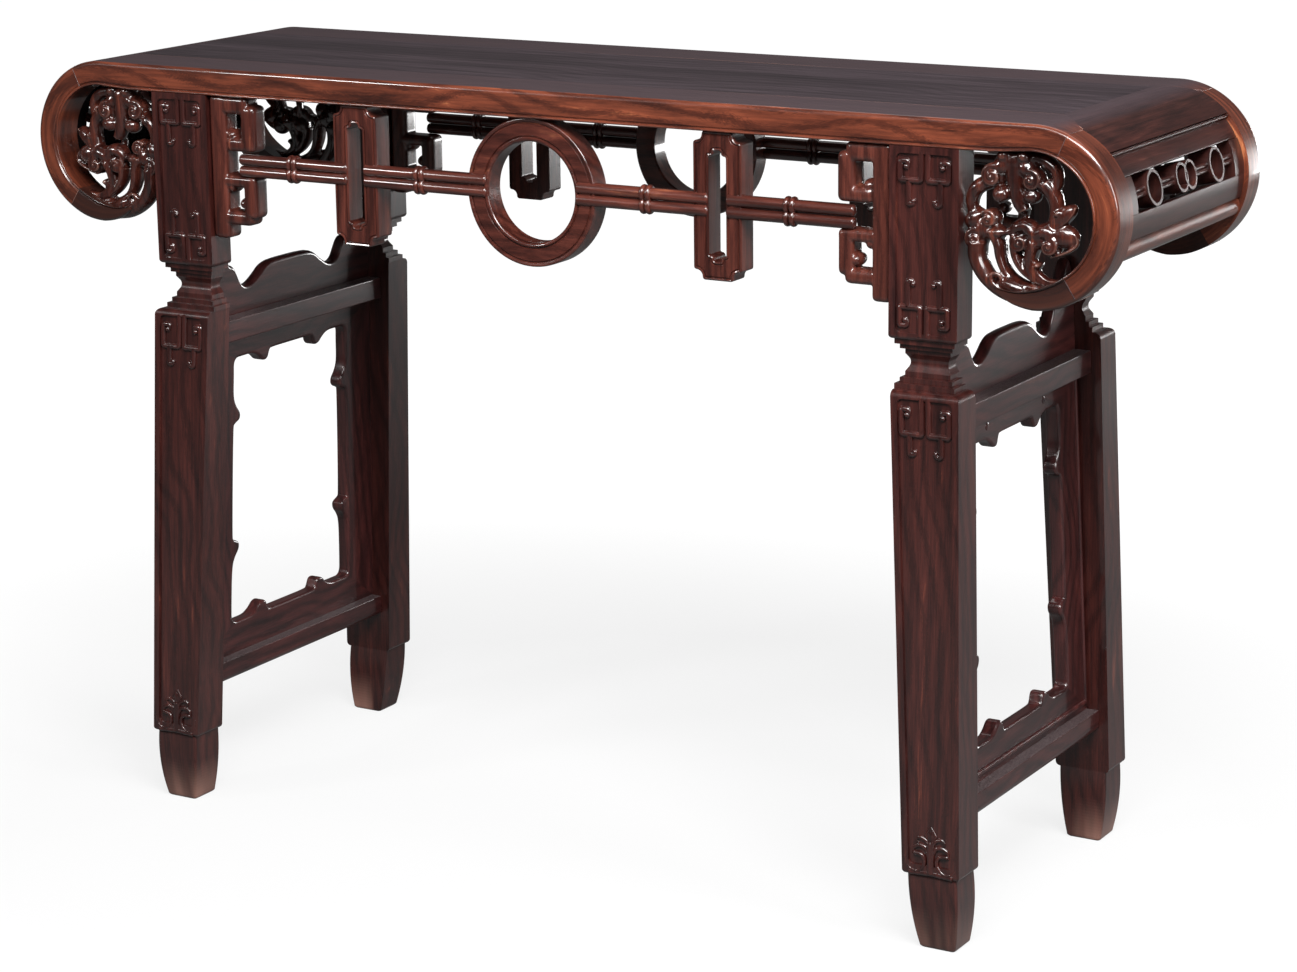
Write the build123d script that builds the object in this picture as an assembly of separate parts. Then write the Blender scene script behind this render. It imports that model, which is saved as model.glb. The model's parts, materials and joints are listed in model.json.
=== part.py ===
"""Chinese altar table with scrolled ends, openwork aprons and splayed legs.

Millimetres, +Z up, +X to the right, the front faces -Y.  The origin is on the
floor under the middle of the top.  Every piece of wood is a solid of its own,
and the pieces meet in the joints that a joiner would cut.
"""

import os
from math import atan2, cos, degrees, radians, sin, tan

from build123d import *

# Overall sizes
table_height = 840.0
top_depth = 376.0

# Top frame
rail_height = 29.0
rail_width = 75.0
rail_thinning_length = 42.0
panel_thickness = 15.0
panel_tongue_depth = 6.0
panel_tongue_height = 5.0
panel_tongue_drop = 6.0
batten_width = 28.0
batten_tenon_length = 10.0
batten_tenon_height = 8.0
batten_spacing = 360.0
batten_count = 3

# Scrolled ends; the centre of a scroll lies this far out from the leg's block
scroll_reach = 74.5
scroll_radius = 90.0
scroll_thickness = 26.0
scroll_width = 36.0
scroll_end_thickness = 13.0
scroll_taper_steps = 3
scroll_tenon_length = 9.0
scroll_tenon_height = 9.0
scroll_tenon_width = 14.0

# Degrees round the right scroll: 0 points outwards and 90 points up
scroll_upper_joint = 66.0
scroll_lower_joint = -57.0
scroll_end_angle = -128.0
end_board_lower_edge = 44.0
end_frame_lower_edge = -16.0
end_opening_angle = 14.0
moulding_angle = -24.8

# Curved end board and the openwork frame below it
end_board_thickness = 14.0
end_frame_recess = 5.0
end_frame_thickness = 14.0
end_opening_height = 36.5
end_stile_width = 25.0
stile_tenon_length = 4.0
stile_tenon_inset = 6.0
stile_tenon_thickness = 6.0
moulding_radius = 12.0
moulding_depth = 13.5

# Rings in the end opening
end_ring_depth = 24.0
large_ring_radius = 18.0
large_ring_wall = 3.0
large_ring_offset = 81.0
small_ring_radius = 15.0
small_ring_wall = 2.8
small_ring_offset = 11.0
ring_bar_bead = 2.6
ring_bar_depth = 14.0
ring_bar_tenon = 3.0

# Legs
apron_span = 828.0
block_width = 74.0
block_depth = 34.0
block_length = 190.5
block_corner_radius = 5.0
neck_step_insets = (4.5, 8.5, 12.5)
neck_step_height = 5.2
neck_hollow_height = 18.0
neck_waist_inset = 18.5
neck_hollow_radius = 9.0
neck_lower_step_height = 5.6
shaft_top_width = 74.0
shaft_top_depth = 39.0
shaft_top_shift = 5.0
shaft_top_proud = 5.7
shaft_low_width = 63.0
shaft_low_depth = 47.5
shaft_splay_x = 21.1
shaft_splay_y = 17.0
shaft_corner_radius = 7.0
foot_height = 79.5
foot_top_inset = 5.0
foot_top_back_inset = 1.0
foot_low_width = 39.0
foot_low_depth = 37.5
foot_toe_in = 7.0
foot_bulge = 2.5
field_border = 7.0
field_depth = 2.5
field_end_margin = 12.0
field_corner_radius = 6.0
leg_tenon_width = 44.0
leg_tenon_thickness = 14.0
leg_tenon_height = 18.0

# Side frames
stretcher_height = 25.0
upper_stretcher_drop = 19.0
upper_stretcher_width = 51.0
lower_stretcher_top = 151.0
lower_stretcher_width = 44.0
lower_stretcher_rounding = 9.0
stretcher_tenon_length = 20.0
stretcher_tenon_width = 16.0
stretcher_tenon_height = 15.0
crest_thickness = 14.0
side_tongue_depth = 5.0
side_tongue_thickness = 6.0
side_tongue_margin = 25.0
crest_dip = 31.0
crest_hump = 51.5
crest_hump_half_width = 40.0
crest_dip_offset = 80.0
crest_dip_radius = 16.0
crest_hump_radius = 30.0
crest_cusp_offset = 106.0
crest_cusp = 58.0
crest_cusp_run = 6.0
crest_cusp_rise = 12.0
crest_shoulder_offset = 122.0
crest_shoulder = 68.0
crest_shoulder_radius = 14.0
crest_end_rise = 100.0
ring_board_thickness = 16.0
ring_top_width = 26.0
ring_bottom_width = 37.0
ring_side_width = 49.0
spur_height = 12.0
spur_tip_width = 10.0
spur_steep_run = 7.0
spur_long_run = 18.0
spur_cusp_radius = 2.0
spur_tip_radius = 5.0
spur_sweep_radius = 12.0
top_spur_offset = 50.0
bottom_spur_offset = 56.0
side_spur_from_top = 68.0
side_spur_from_bottom = 90.0
ring_corner_radius = 20.0

# Openwork aprons under the front and back rails
apron_thickness = 26.0
apron_recess = 4.0
apron_height = 151.0
ring_radius = 77.5
ring_width = 24.5
loop_offset = 220.5
loop_width = 55.0
loop_slot_width = 20.0
loop_slot_height = 112.0
loop_slot_radius = 6.5
loop_corner_radius = 9.0
rod_radius = 6.2
rod_proud = 3.0
rod_drop = 74.5
rod_overlap = 3.0
rod_lap_depth = 16.0
collar_width = 14.0
collar_overlap = 3.0
collar_rounding = 2.5
collar_outer_offset = 303.0
collar_inner_offset = 138.0
bracket_width = 60.0
bracket_height = 157.0
bracket_stem_width = 21.0
bracket_stroke = 18.0
bracket_bar_height = 16.0
bracket_lower_bar_height = 12.0
bracket_hook_gap = 4.0
bracket_ball_radius = 7.5
bracket_corner_radius = 6.0
bracket_foot_height = 14.0
bracket_foot_inset = 12.0
apron_tenon_height = 10.0
apron_tenon_width = 30.0
apron_tenon_thickness = 10.0

# Carved cloud fungus inside each scroll, from the centre of the scroll:
# across, up and radius of every rounded head
carving_thickness = 28.0
fungus_heads = (
    (-42.0, 36.0, 14.0),
    (-4.0, 34.0, 15.0),
    (-22.0, 46.0, 15.0),
    (-34.0, 19.0, 9.0),
    (-4.0, 18.0, 9.0),
    (-20.0, 22.0, 11.0),
    (-48.0, -6.0, 14.0),
    (-66.0, -4.0, 10.0),
    (-60.0, -25.0, 12.0),
    (-36.0, -17.0, 9.0),
    (-14.0, -24.0, 14.0),
    (15.0, -26.0, 14.0),
    (2.0, -14.0, 13.0),
    (32.0, -16.0, 12.0),
    (28.0, 2.0, 8.0),
)
# Stems: start and end, across and up, and width
fungus_stems = (
    ((-20.0, 24.0), (-10.0, -10.0), 13.0),
    ((15.0, 40.0), (22.0, -4.0), 11.0),
    ((-58.0, -30.0), (-54.0, -62.0), 14.0),
    ((-38.0, -20.0), (-30.0, -64.0), 9.0),
    ((-16.0, -30.0), (-6.0, -68.0), 9.0),
    ((8.0, -30.0), (4.0, -68.0), 9.0),
    ((-54.0, -58.0), (-20.0, -76.0), 18.0),
)

# Heights and places that follow from the sizes above
half_depth = top_depth / 2
half_span = apron_span / 2
block_outer_x = half_span + block_width
half_straight = block_outer_x + scroll_reach
rail_bottom = table_height - rail_height
rail_inner_y = half_depth - rail_width
scroll_inner_y = half_depth - scroll_width
scroll_centre_z = table_height - scroll_radius
scroll_inner_radius = scroll_radius - scroll_thickness
block_inner_y = half_depth - block_depth
block_bottom = rail_bottom - block_length
steps_height = neck_step_height * len(neck_step_insets)
lower_steps_height = neck_lower_step_height * len(neck_step_insets)
shaft_top = block_bottom - steps_height - neck_hollow_height - lower_steps_height
upper_stretcher_top = shaft_top - upper_stretcher_drop
shaft_top_inner_x = half_span + shaft_top_shift
shaft_top_outer_y = half_depth + shaft_top_proud
shaft_top_inner_y = shaft_top_outer_y - shaft_top_depth
shaft_top_x = shaft_top_inner_x + shaft_top_width / 2
shaft_low_x = shaft_top_x + shaft_splay_x
shaft_low_y = (shaft_top_outer_y + shaft_top_inner_y) / 2 + shaft_splay_y
shaft_low_outer_y = shaft_low_y + shaft_low_depth / 2
shaft_low_inner_y = shaft_low_y - shaft_low_depth / 2
apron_front_y = half_depth - apron_recess
apron_back_y = apron_front_y - apron_thickness
ring_centre_z = rail_bottom - ring_radius
rod_centre_z = rail_bottom - rod_drop
ring_inner_radius = ring_radius - ring_width
rod_height = 4 * rod_radius
far = 2 * (half_straight + scroll_radius)
corner_share = 0.49


def between(low, low_value, high, high_value, at):
    """The value at a place on the straight line through two known places."""
    return low_value + (high_value - low_value) * (at - low) / (high - low)


def leg_centre_x(z):
    """Where the middle of the splayed right leg stands at a height."""
    return between(foot_height, shaft_low_x, shaft_top, shaft_top_x, z)


def leg_inner_y(z):
    """How far the inner face of a leg stands from the middle at a height."""
    return between(foot_height, shaft_low_inner_y, shaft_top, shaft_top_inner_y, z)


def corner_limit(before, corner, after):
    """The largest radius that the two runs at a corner leave room for."""
    place = Vector(corner[0], corner[1])
    runs = [place - Vector(before[0], before[1]), Vector(after[0], after[1]) - place]
    turn = radians(runs[0].get_angle(runs[1]))
    room = []
    for run, neighbour in zip(runs, (before, after)):
        shared = corner_share if neighbour[2] else 2 * corner_share
        room.append(run.length * shared)
    return min(room) / tan(turn / 2)


def rounded_face(corners):
    """A face from corners given as (across, up, radius), as round as they allow."""
    points = [(across, up) for across, up, _ in corners]
    radii = []
    for number, corner in enumerate(corners):
        before = corners[number - 1]
        after = corners[(number + 1) % len(corners)]
        radius = corner[2]
        if radius:
            radius = min(radius, corner_limit(before, corner, after))
        radii.append(radius)
    return make_face(FilletPolyline(*points, radius=radii, close=True))


def mirrored_corners(corners):
    """Corners of one half, then the same corners mirrored, in order round."""
    other = [(-across, up, radius) for across, up, radius in reversed(corners)]
    return corners + other


def front_plate(face, outer, inner):
    """Extrude a face drawn across and up from depth outer back to depth inner."""
    plane = Plane(origin=(0, -inner, 0), x_dir=(1, 0, 0), z_dir=(0, -1, 0))
    return extrude(plane * face, amount=outer - inner)


def side_plate(face, near, reach):
    """Extrude a face drawn over depth and height from x = near to x = reach."""
    plane = Plane(origin=(near, 0, 0), x_dir=(0, 1, 0), z_dir=(1, 0, 0))
    return extrude(plane * face, amount=reach - near)


def block(low, high):
    """A rectangular block between two corners."""
    size = [b - a for a, b in zip(low, high)]
    middle = [(a + b) / 2 for a, b in zip(low, high)]
    return Pos(*middle) * Box(*size)


def scroll_point(radius, angle):
    """A point across and up on the right scroll."""
    across = half_straight + radius * cos(radians(angle))
    return (across, scroll_centre_z + radius * sin(radians(angle)))


def scroll_arc(radius, start, end):
    """A round stretch of the right scroll between two angles."""
    middle = (start + end) / 2
    ends = [scroll_point(radius, angle) for angle in (start, middle, end)]
    return ThreePointArc(*ends)


def scroll_sector(inner, outer, start, end):
    """The face between two radii and two angles of the right scroll."""
    rim = scroll_arc(outer, start, end)
    bore = scroll_arc(inner, end, start)
    return make_face([rim, Line(rim @ 1, bore @ 0), bore, Line(bore @ 1, rim @ 0)])


# ---------------------------------------------------------------- top frame


def mitre_face():
    """Plan of the curved end board, bounded by the two mitres and the scrolls."""
    joint_x = scroll_point(scroll_radius, scroll_upper_joint)[0]
    half = [
        (half_straight, 0),
        (half_straight, rail_inner_y),
        (joint_x, scroll_inner_y),
        (far, scroll_inner_y),
        (far, 0),
    ]
    half_plan = make_face(Polyline(*half, close=True))
    return half_plan + mirror(half_plan, about=Plane.XZ)


def mitre_prism():
    """The room that the right end board takes out of the rails, full height."""
    return extrude(mitre_face(), amount=table_height)


def rail_outline():
    """Front view of a long rail: straight, then round to the scroll's joint."""
    thin_start = half_straight - rail_thinning_length
    rim = scroll_arc(scroll_radius, 90, scroll_upper_joint)
    bore = scroll_arc(scroll_inner_radius, scroll_upper_joint, 90)
    edges = [
        Line((0, table_height), rim @ 0),
        rim,
        Line(rim @ 1, bore @ 0),
        bore,
        Line(bore @ 1, (thin_start, rail_bottom)),
        Line((thin_start, rail_bottom), (0, rail_bottom)),
        Line((0, rail_bottom), (0, table_height)),
    ]
    half = make_face(edges)
    return half + mirror(half, about=Plane.YZ)


def panel():
    """Floating panel of the top, with a tongue on all four edges."""
    low = table_height - panel_thickness
    body = block(
        (-half_straight, -rail_inner_y, low),
        (half_straight, rail_inner_y, table_height),
    )
    return body + panel_tongue()


def panel_tongue():
    """The thin slab whose edges lie in the grooves of rails and end boards."""
    high = table_height - panel_tongue_drop
    reach_x = half_straight + panel_tongue_depth
    reach_y = rail_inner_y + panel_tongue_depth
    return block(
        (-reach_x, -reach_y, high - panel_tongue_height),
        (reach_x, reach_y, high),
    )


def battens():
    """Cross battens under the panel, tenoned into both long rails."""
    top = table_height - panel_thickness
    middle = (rail_bottom + top) / 2
    first = -batten_spacing * (batten_count - 1) / 2
    pieces = []
    for number in range(batten_count):
        x = first + number * batten_spacing
        body = block(
            (x - batten_width / 2, -rail_inner_y, rail_bottom),
            (x + batten_width / 2, rail_inner_y, top),
        )
        reach = rail_inner_y + batten_tenon_length
        tenon = block(
            (x - batten_width / 2, -reach, middle - batten_tenon_height / 2),
            (x + batten_width / 2, reach, middle + batten_tenon_height / 2),
        )
        pieces.append(body + tenon)
    return pieces


def apron_tenon(x, low):
    """Stub tenon on top of an apron piece, let into the rail above it."""
    y = (apron_front_y + apron_back_y) / 2
    high = rail_bottom + apron_tenon_height
    return block(
        (x - apron_tenon_width / 2, -y - apron_tenon_thickness / 2, low),
        (x + apron_tenon_width / 2, -y + apron_tenon_thickness / 2, high),
    )


def bracket_tenon_x():
    """Middle of the tenon on top of the right corner bracket."""
    return half_span - bracket_width / 2


def leg_tenon():
    """Tenon on top of the front right leg."""
    x = half_span + block_width / 2
    y = half_depth - block_depth / 2
    high = rail_bottom + leg_tenon_height
    return block(
        (x - leg_tenon_width / 2, -y - leg_tenon_thickness / 2, rail_bottom),
        (x + leg_tenon_width / 2, -y + leg_tenon_thickness / 2, high),
    )


def front_rail():
    """Long front rail with its curved ends, grooves and mortises."""
    rail = front_plate(rail_outline(), half_depth, rail_inner_y)
    room = mitre_prism()
    rail = rail - room - mirror(room, about=Plane.YZ) - panel_tongue()
    for batten in battens():
        rail = rail - batten
    places = [0, loop_offset, -loop_offset, bracket_tenon_x(), -bracket_tenon_x()]
    for x in places:
        rail = rail - apron_tenon(x, rail_bottom)
    joints = leg_tenon() + scroll_tenon(scroll_upper_joint, 1)
    return rail - joints - mirror(joints, about=Plane.YZ)


# ------------------------------------------------------------ scrolled ends


def end_board():
    """Right end board, bent down from the flat top between the scrolls."""
    inner = scroll_radius - end_board_thickness
    curve = scroll_sector(inner, scroll_radius, 90, end_board_lower_edge)
    board = front_plate(curve, scroll_inner_y, -scroll_inner_y)
    return (board & mitre_prism()) - panel_tongue()


def end_plane():
    """Plane in the mouth of the right end opening, facing outwards."""
    radius = scroll_radius - end_frame_recess
    across, up = scroll_point(radius, end_opening_angle)
    turn = radians(end_opening_angle)
    return Plane(origin=(across, 0, up), x_dir=(0, 1, 0), z_dir=(cos(turn), 0, sin(turn)))


def end_slab(low, high, half_width):
    """Room across the end, between two heights measured in the opening's plane."""
    face = Pos(0, (low + high) / 2) * Rectangle(2 * half_width, high - low)
    return extrude(end_plane() * face, amount=scroll_inner_radius, both=True)


def end_frame_board():
    """The curved board that the openwork frame is cut from."""
    outer = scroll_radius - end_frame_recess
    inner = outer - end_frame_thickness
    curve = scroll_sector(inner, outer, end_board_lower_edge, end_frame_lower_edge)
    return front_plate(curve, scroll_inner_y, -scroll_inner_y)


def stile_tenons():
    """Tenons above and below both stiles of the end frame."""
    y = scroll_inner_y - end_stile_width / 2
    width = end_stile_width - 2 * stile_tenon_inset
    height = end_opening_height + 2 * stile_tenon_length
    middle = end_frame_thickness / 2
    plane = end_plane().offset(-middle - stile_tenon_thickness / 2)
    tenons = []
    for side in (-1, 1):
        face = Pos(side * y, 0) * Rectangle(width, height)
        tenons.append(extrude(plane * face, amount=stile_tenon_thickness))
    return tenons


def end_stiles():
    """Two upright pieces of the end frame."""
    half = end_opening_height / 2
    board = end_frame_board() & end_slab(-half, half, scroll_inner_y)
    hole = end_slab(-half, half, scroll_inner_y - end_stile_width)
    stiles = (board - hole).solids()
    stiles = sorted(stiles, key=lambda solid: solid.center().Y)
    bar = ring_bars()
    return [stile + tenon - bar for stile, tenon in zip(stiles, stile_tenons())]


def end_rail(side):
    """Upper (side 1) or lower (side -1) piece of the end frame."""
    half = end_opening_height / 2
    reach = 2 * scroll_radius
    low, high = (half, reach) if side > 0 else (-reach, -half)
    rail = end_frame_board() & end_slab(low, high, scroll_inner_y)
    for tenon in stile_tenons():
        rail = rail - tenon
    return rail


def end_moulding():
    """Round rail that closes the foot of the end frame."""
    centre = scroll_point(scroll_radius - moulding_depth, moulding_angle)
    round_bar = front_plate(
        Pos(*centre) * Circle(moulding_radius), scroll_inner_y, -scroll_inner_y
    )
    return round_bar - end_frame_board()


def ring_tube(offset, radius, wall):
    """One open ring of the end fret, a short tube that looks outwards."""
    rim = Pos(offset, 0) * (Circle(radius) - Circle(radius - wall))
    return extrude(end_plane() * rim, amount=-end_ring_depth)


def ring_bar(start, end):
    """A twin-beaded bar of the end fret between two places."""
    middle_depth = end_ring_depth / 2
    plane = end_plane().offset(-middle_depth - ring_bar_depth / 2)
    face = Pos((start + end) / 2, 0) * Rectangle(end - start, 2 * ring_bar_bead)
    body = extrude(plane * face, amount=ring_bar_depth)
    along = Plane(origin=end_plane().origin, x_dir=end_plane().z_dir, z_dir=(0, 1, 0))
    beads = Sketch()
    for up in (-ring_bar_bead, ring_bar_bead):
        for out in (-ring_bar_depth / 2, ring_bar_depth / 2):
            beads += Pos(out - middle_depth, up) * Circle(ring_bar_bead)
    core = Pos(-middle_depth, 0) * Rectangle(ring_bar_depth, 4 * ring_bar_bead)
    section = along.offset(start) * (beads + core)
    return body + extrude(section, amount=end - start)


def ring_bars():
    """Bars from both stiles to the large rings, with their tenons."""
    stile = scroll_inner_y - end_stile_width
    reach = stile + ring_bar_tenon
    ring = large_ring_offset + large_ring_radius - large_ring_wall / 2
    return ring_bar(ring, reach) + ring_bar(-reach, -ring)


def end_rings():
    """Chain of rings in the end opening, cut from one board."""
    chain = ring_bars()
    near = large_ring_offset - large_ring_radius + large_ring_wall / 2
    far_side = small_ring_offset + small_ring_radius - small_ring_wall / 2
    for side in (-1, 1):
        chain += ring_tube(side * large_ring_offset, large_ring_radius, large_ring_wall)
        chain += ring_tube(side * small_ring_offset, small_ring_radius, small_ring_wall)
        start, end = sorted((side * far_side, side * near))
        chain += ring_bar(start, end)
    return chain


def scroll_tenon(angle, onward):
    """Tenon on an end of the front right scroll; onward is 1 to the rail."""
    middle = scroll_radius - scroll_thickness / 2
    place = Pos(*scroll_point(middle, angle)) * Rot(0, 0, angle)
    tenon = Rectangle(scroll_tenon_height, scroll_tenon_length)
    face = place * Pos(0, onward * scroll_tenon_length / 2) * tenon
    inner = half_depth - (scroll_width + scroll_tenon_width) / 2
    return front_plate(face, inner + scroll_tenon_width, inner)


def scroll_tenons():
    """Both tenons of the front right scroll."""
    return scroll_tenon(scroll_upper_joint, 1) + scroll_tenon(scroll_lower_joint, -1)


def scroll():
    """Front right scroll rail, from the upper joint round to the lower one."""
    curve = scroll_sector(
        scroll_inner_radius, scroll_radius, scroll_upper_joint, scroll_lower_joint
    )
    return front_plate(curve, half_depth, scroll_inner_y) + scroll_tenons()


def scroll_tip():
    """Front right scroll end with its carved cloud fungus, up to the leg."""
    steps = scroll_taper_steps
    sweep = scroll_lower_joint - scroll_end_angle
    rim = scroll_arc(scroll_radius, scroll_lower_joint, scroll_end_angle)
    end_inner = scroll_radius - scroll_end_thickness
    bore_points = []
    for step in range(steps + 1):
        share = step / steps
        radius = scroll_inner_radius + (end_inner - scroll_inner_radius) * share
        bore_points.append(scroll_point(radius, scroll_lower_joint - sweep * share))
    bore = Spline(*reversed(bore_points))
    face = make_face([rim, Line(rim @ 1, bore @ 0), bore, Line(bore @ 1, rim @ 0)])
    tip = front_plate(face, half_depth, scroll_inner_y)
    cloud = Sketch()
    for across, up, radius in fungus_heads:
        place = Pos(half_straight + across, scroll_centre_z + up)
        cloud += place * Circle(radius)
    for start, end, width in fungus_stems:
        length = ((end[0] - start[0]) ** 2 + (end[1] - start[1]) ** 2) ** 0.5
        turn = degrees(atan2(end[1] - start[1], end[0] - start[0]))
        middle = ((start[0] + end[0]) / 2, (start[1] + end[1]) / 2)
        place = Pos(half_straight + middle[0], scroll_centre_z + middle[1])
        cloud += place * Rot(0, 0, turn) * Rectangle(length, width)
    inner = half_depth - (scroll_width + carving_thickness) / 2
    carving = front_plate(cloud, inner + carving_thickness, inner)
    disc = Pos(half_straight, scroll_centre_z) * Circle(scroll_radius)
    carving = carving & front_plate(disc, half_depth, scroll_inner_y)
    return tip + carving - block_shadow() - scroll_tenons()


def block_shadow():
    """The room of the leg's upper block, which the carving stops against."""
    return block(
        (half_span, -half_depth, block_bottom - neck_step_height),
        (block_outer_x, -block_inner_y, rail_bottom),
    )


# --------------------------------------------------------------------- legs


def neck_corners(face, inward):
    """Moulded neck on one face of a leg, from the block down to the shaft."""
    corners = [(face, block_bottom, block_corner_radius)]
    z = block_bottom
    for inset in neck_step_insets:
        corners.append((face + inward * inset, z, 0))
        z -= neck_step_height
        corners.append((face + inward * inset, z, 0))
    z -= neck_hollow_height / 2
    corners.append((face + inward * neck_waist_inset, z, neck_hollow_radius))
    z -= neck_hollow_height / 2
    for inset in reversed(neck_step_insets):
        corners.append((face + inward * inset, z, 0))
        z -= neck_lower_step_height
        corners.append((face + inward * inset, z, 0))
    return corners


def leg_side(face, shaft, foot, inward, moulded):
    """Corners down one side of a leg; shaft and foot hold (top, low) places."""
    corners = [(face, rail_bottom, 0)]
    if moulded:
        corners += neck_corners(face, inward)
        corners.append((shaft[0], shaft_top, shaft_corner_radius))
        corners.append((shaft[1], foot_height, shaft_corner_radius))
    else:
        corners.append((face, block_bottom, 0))
        corners.append((shaft[0], shaft_top, 0))
        corners.append((shaft[1], foot_height, 0))
    middle = (foot[0] + foot[1]) / 2 - inward * foot_bulge
    corners.append((foot[0], foot_height, 0))
    corners.append((middle, foot_height / 2, foot_height))
    corners.append((foot[1], 0, 0))
    return corners


def leg_front_face():
    """Front view of the right leg."""
    inner = leg_side(
        half_span,
        (shaft_top_inner_x, shaft_low_x - shaft_low_width / 2),
        (
            shaft_low_x - shaft_low_width / 2 + foot_top_inset,
            shaft_low_x - foot_low_width / 2 + leg_foot_shift(),
        ),
        1,
        True,
    )
    outer = leg_side(
        block_outer_x,
        (shaft_top_inner_x + shaft_top_width, shaft_low_x + shaft_low_width / 2),
        (
            shaft_low_x + shaft_low_width / 2 - foot_top_inset,
            shaft_low_x + foot_low_width / 2 + leg_foot_shift(),
        ),
        -1,
        True,
    )
    return rounded_face(inner + list(reversed(outer)))


def leg_foot_shift():
    """How far the foot carries on the leg's splay between shaft and floor."""
    return (shaft_low_x - shaft_top_x) * foot_height / (shaft_top - foot_height)


def leg_side_face():
    """Side view of the front leg; only its outer face is moulded."""
    foot_outer = shaft_low_outer_y - foot_top_inset
    foot_inner = shaft_low_inner_y + foot_top_back_inset
    foot_y = shaft_low_y - foot_toe_in
    outer = leg_side(
        -half_depth,
        (-shaft_top_outer_y, -shaft_low_outer_y),
        (-foot_outer, -foot_y - foot_low_depth / 2),
        1,
        True,
    )
    inner = leg_side(
        -block_inner_y,
        (-shaft_top_inner_y, -shaft_low_inner_y),
        (-foot_inner, -foot_y + foot_low_depth / 2),
        -1,
        False,
    )
    return rounded_face(outer + list(reversed(inner)))


def leg_fields():
    """Sunk fields of the front leg: one in the block, one down the shaft."""
    radius = field_corner_radius
    left = half_span + field_border
    right = block_outer_x - field_border
    high = rail_bottom - field_border
    low = block_bottom + field_border
    corners = [(left, high), (right, high), (right, low), (left, low)]
    block_face = rounded_face([(x, z, radius) for x, z in corners])
    block_field = front_plate(block_face, half_depth, half_depth - field_depth)
    corners = []
    for z in (shaft_top - field_border, foot_height + field_end_margin):
        width = between(foot_height, shaft_low_width, shaft_top, shaft_top_width, z)
        edge = width / 2 - field_border
        sides = [(leg_centre_x(z) - edge, z, radius), (leg_centre_x(z) + edge, z, radius)]
        corners += sides if not corners else sides[::-1]
    face = rounded_face(corners)
    slope = []
    for z in (0, table_height):
        outer = between(foot_height, shaft_low_outer_y, shaft_top, shaft_top_outer_y, z)
        slope.append((-outer, z, 0))
    behind = [(y + field_depth, z, 0) for y, z, _ in reversed(slope)]
    skin = side_plate(rounded_face(slope + behind), half_span - block_width, far)
    shaft_field = front_plate(face, far, 0) & skin
    return block_field, shaft_field


def leg():
    """Front right leg in one piece: block, moulded neck, shaft and foot."""
    from_front = front_plate(leg_front_face(), far, 0)
    from_side = side_plate(leg_side_face(), 0, far)
    body = from_front & from_side
    for field in leg_fields():
        body = body - field
    body = body + leg_tenon()
    for tenon in (upper_stretcher_tenon(), lower_stretcher_tenon()):
        body = body - tenon
    return body


# -------------------------------------------------------------- side frames


def stretcher_tenon(top):
    """Both tenons of a right stretcher as one bar through its full length."""
    middle = top - stretcher_height / 2
    x = leg_centre_x(middle)
    reach = leg_inner_y(middle) + stretcher_tenon_length
    return block(
        (x - stretcher_tenon_width / 2, -reach, middle - stretcher_tenon_height / 2),
        (x + stretcher_tenon_width / 2, reach, middle + stretcher_tenon_height / 2),
    )


def upper_stretcher_tenon():
    """Tenons of the upper stretcher."""
    return stretcher_tenon(upper_stretcher_top)


def lower_stretcher_tenon():
    """Tenons of the lower stretcher."""
    return stretcher_tenon(lower_stretcher_top)


def stretcher_bar(top, width, rounding):
    """A right stretcher between the legs, its under edges rounded."""
    low = top - stretcher_height
    x = leg_centre_x(top - stretcher_height / 2)
    section = rounded_face(
        [
            (x - width / 2, top, 0),
            (x + width / 2, top, 0),
            (x + width / 2, low, rounding),
            (x - width / 2, low, rounding),
        ]
    )
    ends = rounded_face(
        [
            (-leg_inner_y(top), top, 0),
            (leg_inner_y(top), top, 0),
            (leg_inner_y(low), low, 0),
            (-leg_inner_y(low), low, 0),
        ]
    )
    return front_plate(section, far, -far) & side_plate(ends, 0, far)


def side_slab(thickness):
    """The leaning room of a given thickness that the side boards stand in."""
    low_x = leg_centre_x(0)
    high_x = leg_centre_x(table_height)
    half = thickness / 2
    face = rounded_face(
        [
            (low_x - half, 0, 0),
            (low_x + half, 0, 0),
            (high_x + half, table_height, 0),
            (high_x - half, table_height, 0),
        ]
    )
    return front_plate(face, far, -far)


def side_tongue(edge, upward):
    """Tongue of a side board, let into the stretcher above (1) or below (-1)."""
    low, high = sorted((edge, edge + upward * side_tongue_depth))
    x = leg_centre_x(edge)
    half = side_tongue_thickness / 2
    reach = leg_inner_y(edge) - side_tongue_margin
    return block((x - half, -reach, low), (x + half, reach, high))


def crest_tongue():
    """Tongue under the crest board."""
    return side_tongue(upper_stretcher_top, -1)


def ring_top_tongue():
    """Tongue on top of the upper ring board."""
    return side_tongue(upper_stretcher_top - stretcher_height, 1)


def ring_bottom_tongue():
    """Tongue under the lower ring board."""
    return side_tongue(lower_stretcher_top, -1)


def upper_stretcher():
    """Right upper stretcher with its tenons and the grooves for two boards."""
    bar = stretcher_bar(upper_stretcher_top, upper_stretcher_width, 0)
    bar = bar + upper_stretcher_tenon()
    return bar - crest_tongue() - ring_top_tongue()


def lower_stretcher():
    """Right lower stretcher, rounded underneath, with its tenons."""
    bar = stretcher_bar(
        lower_stretcher_top, lower_stretcher_width, lower_stretcher_rounding
    )
    return bar + lower_stretcher_tenon() - ring_bottom_tongue()


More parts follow.
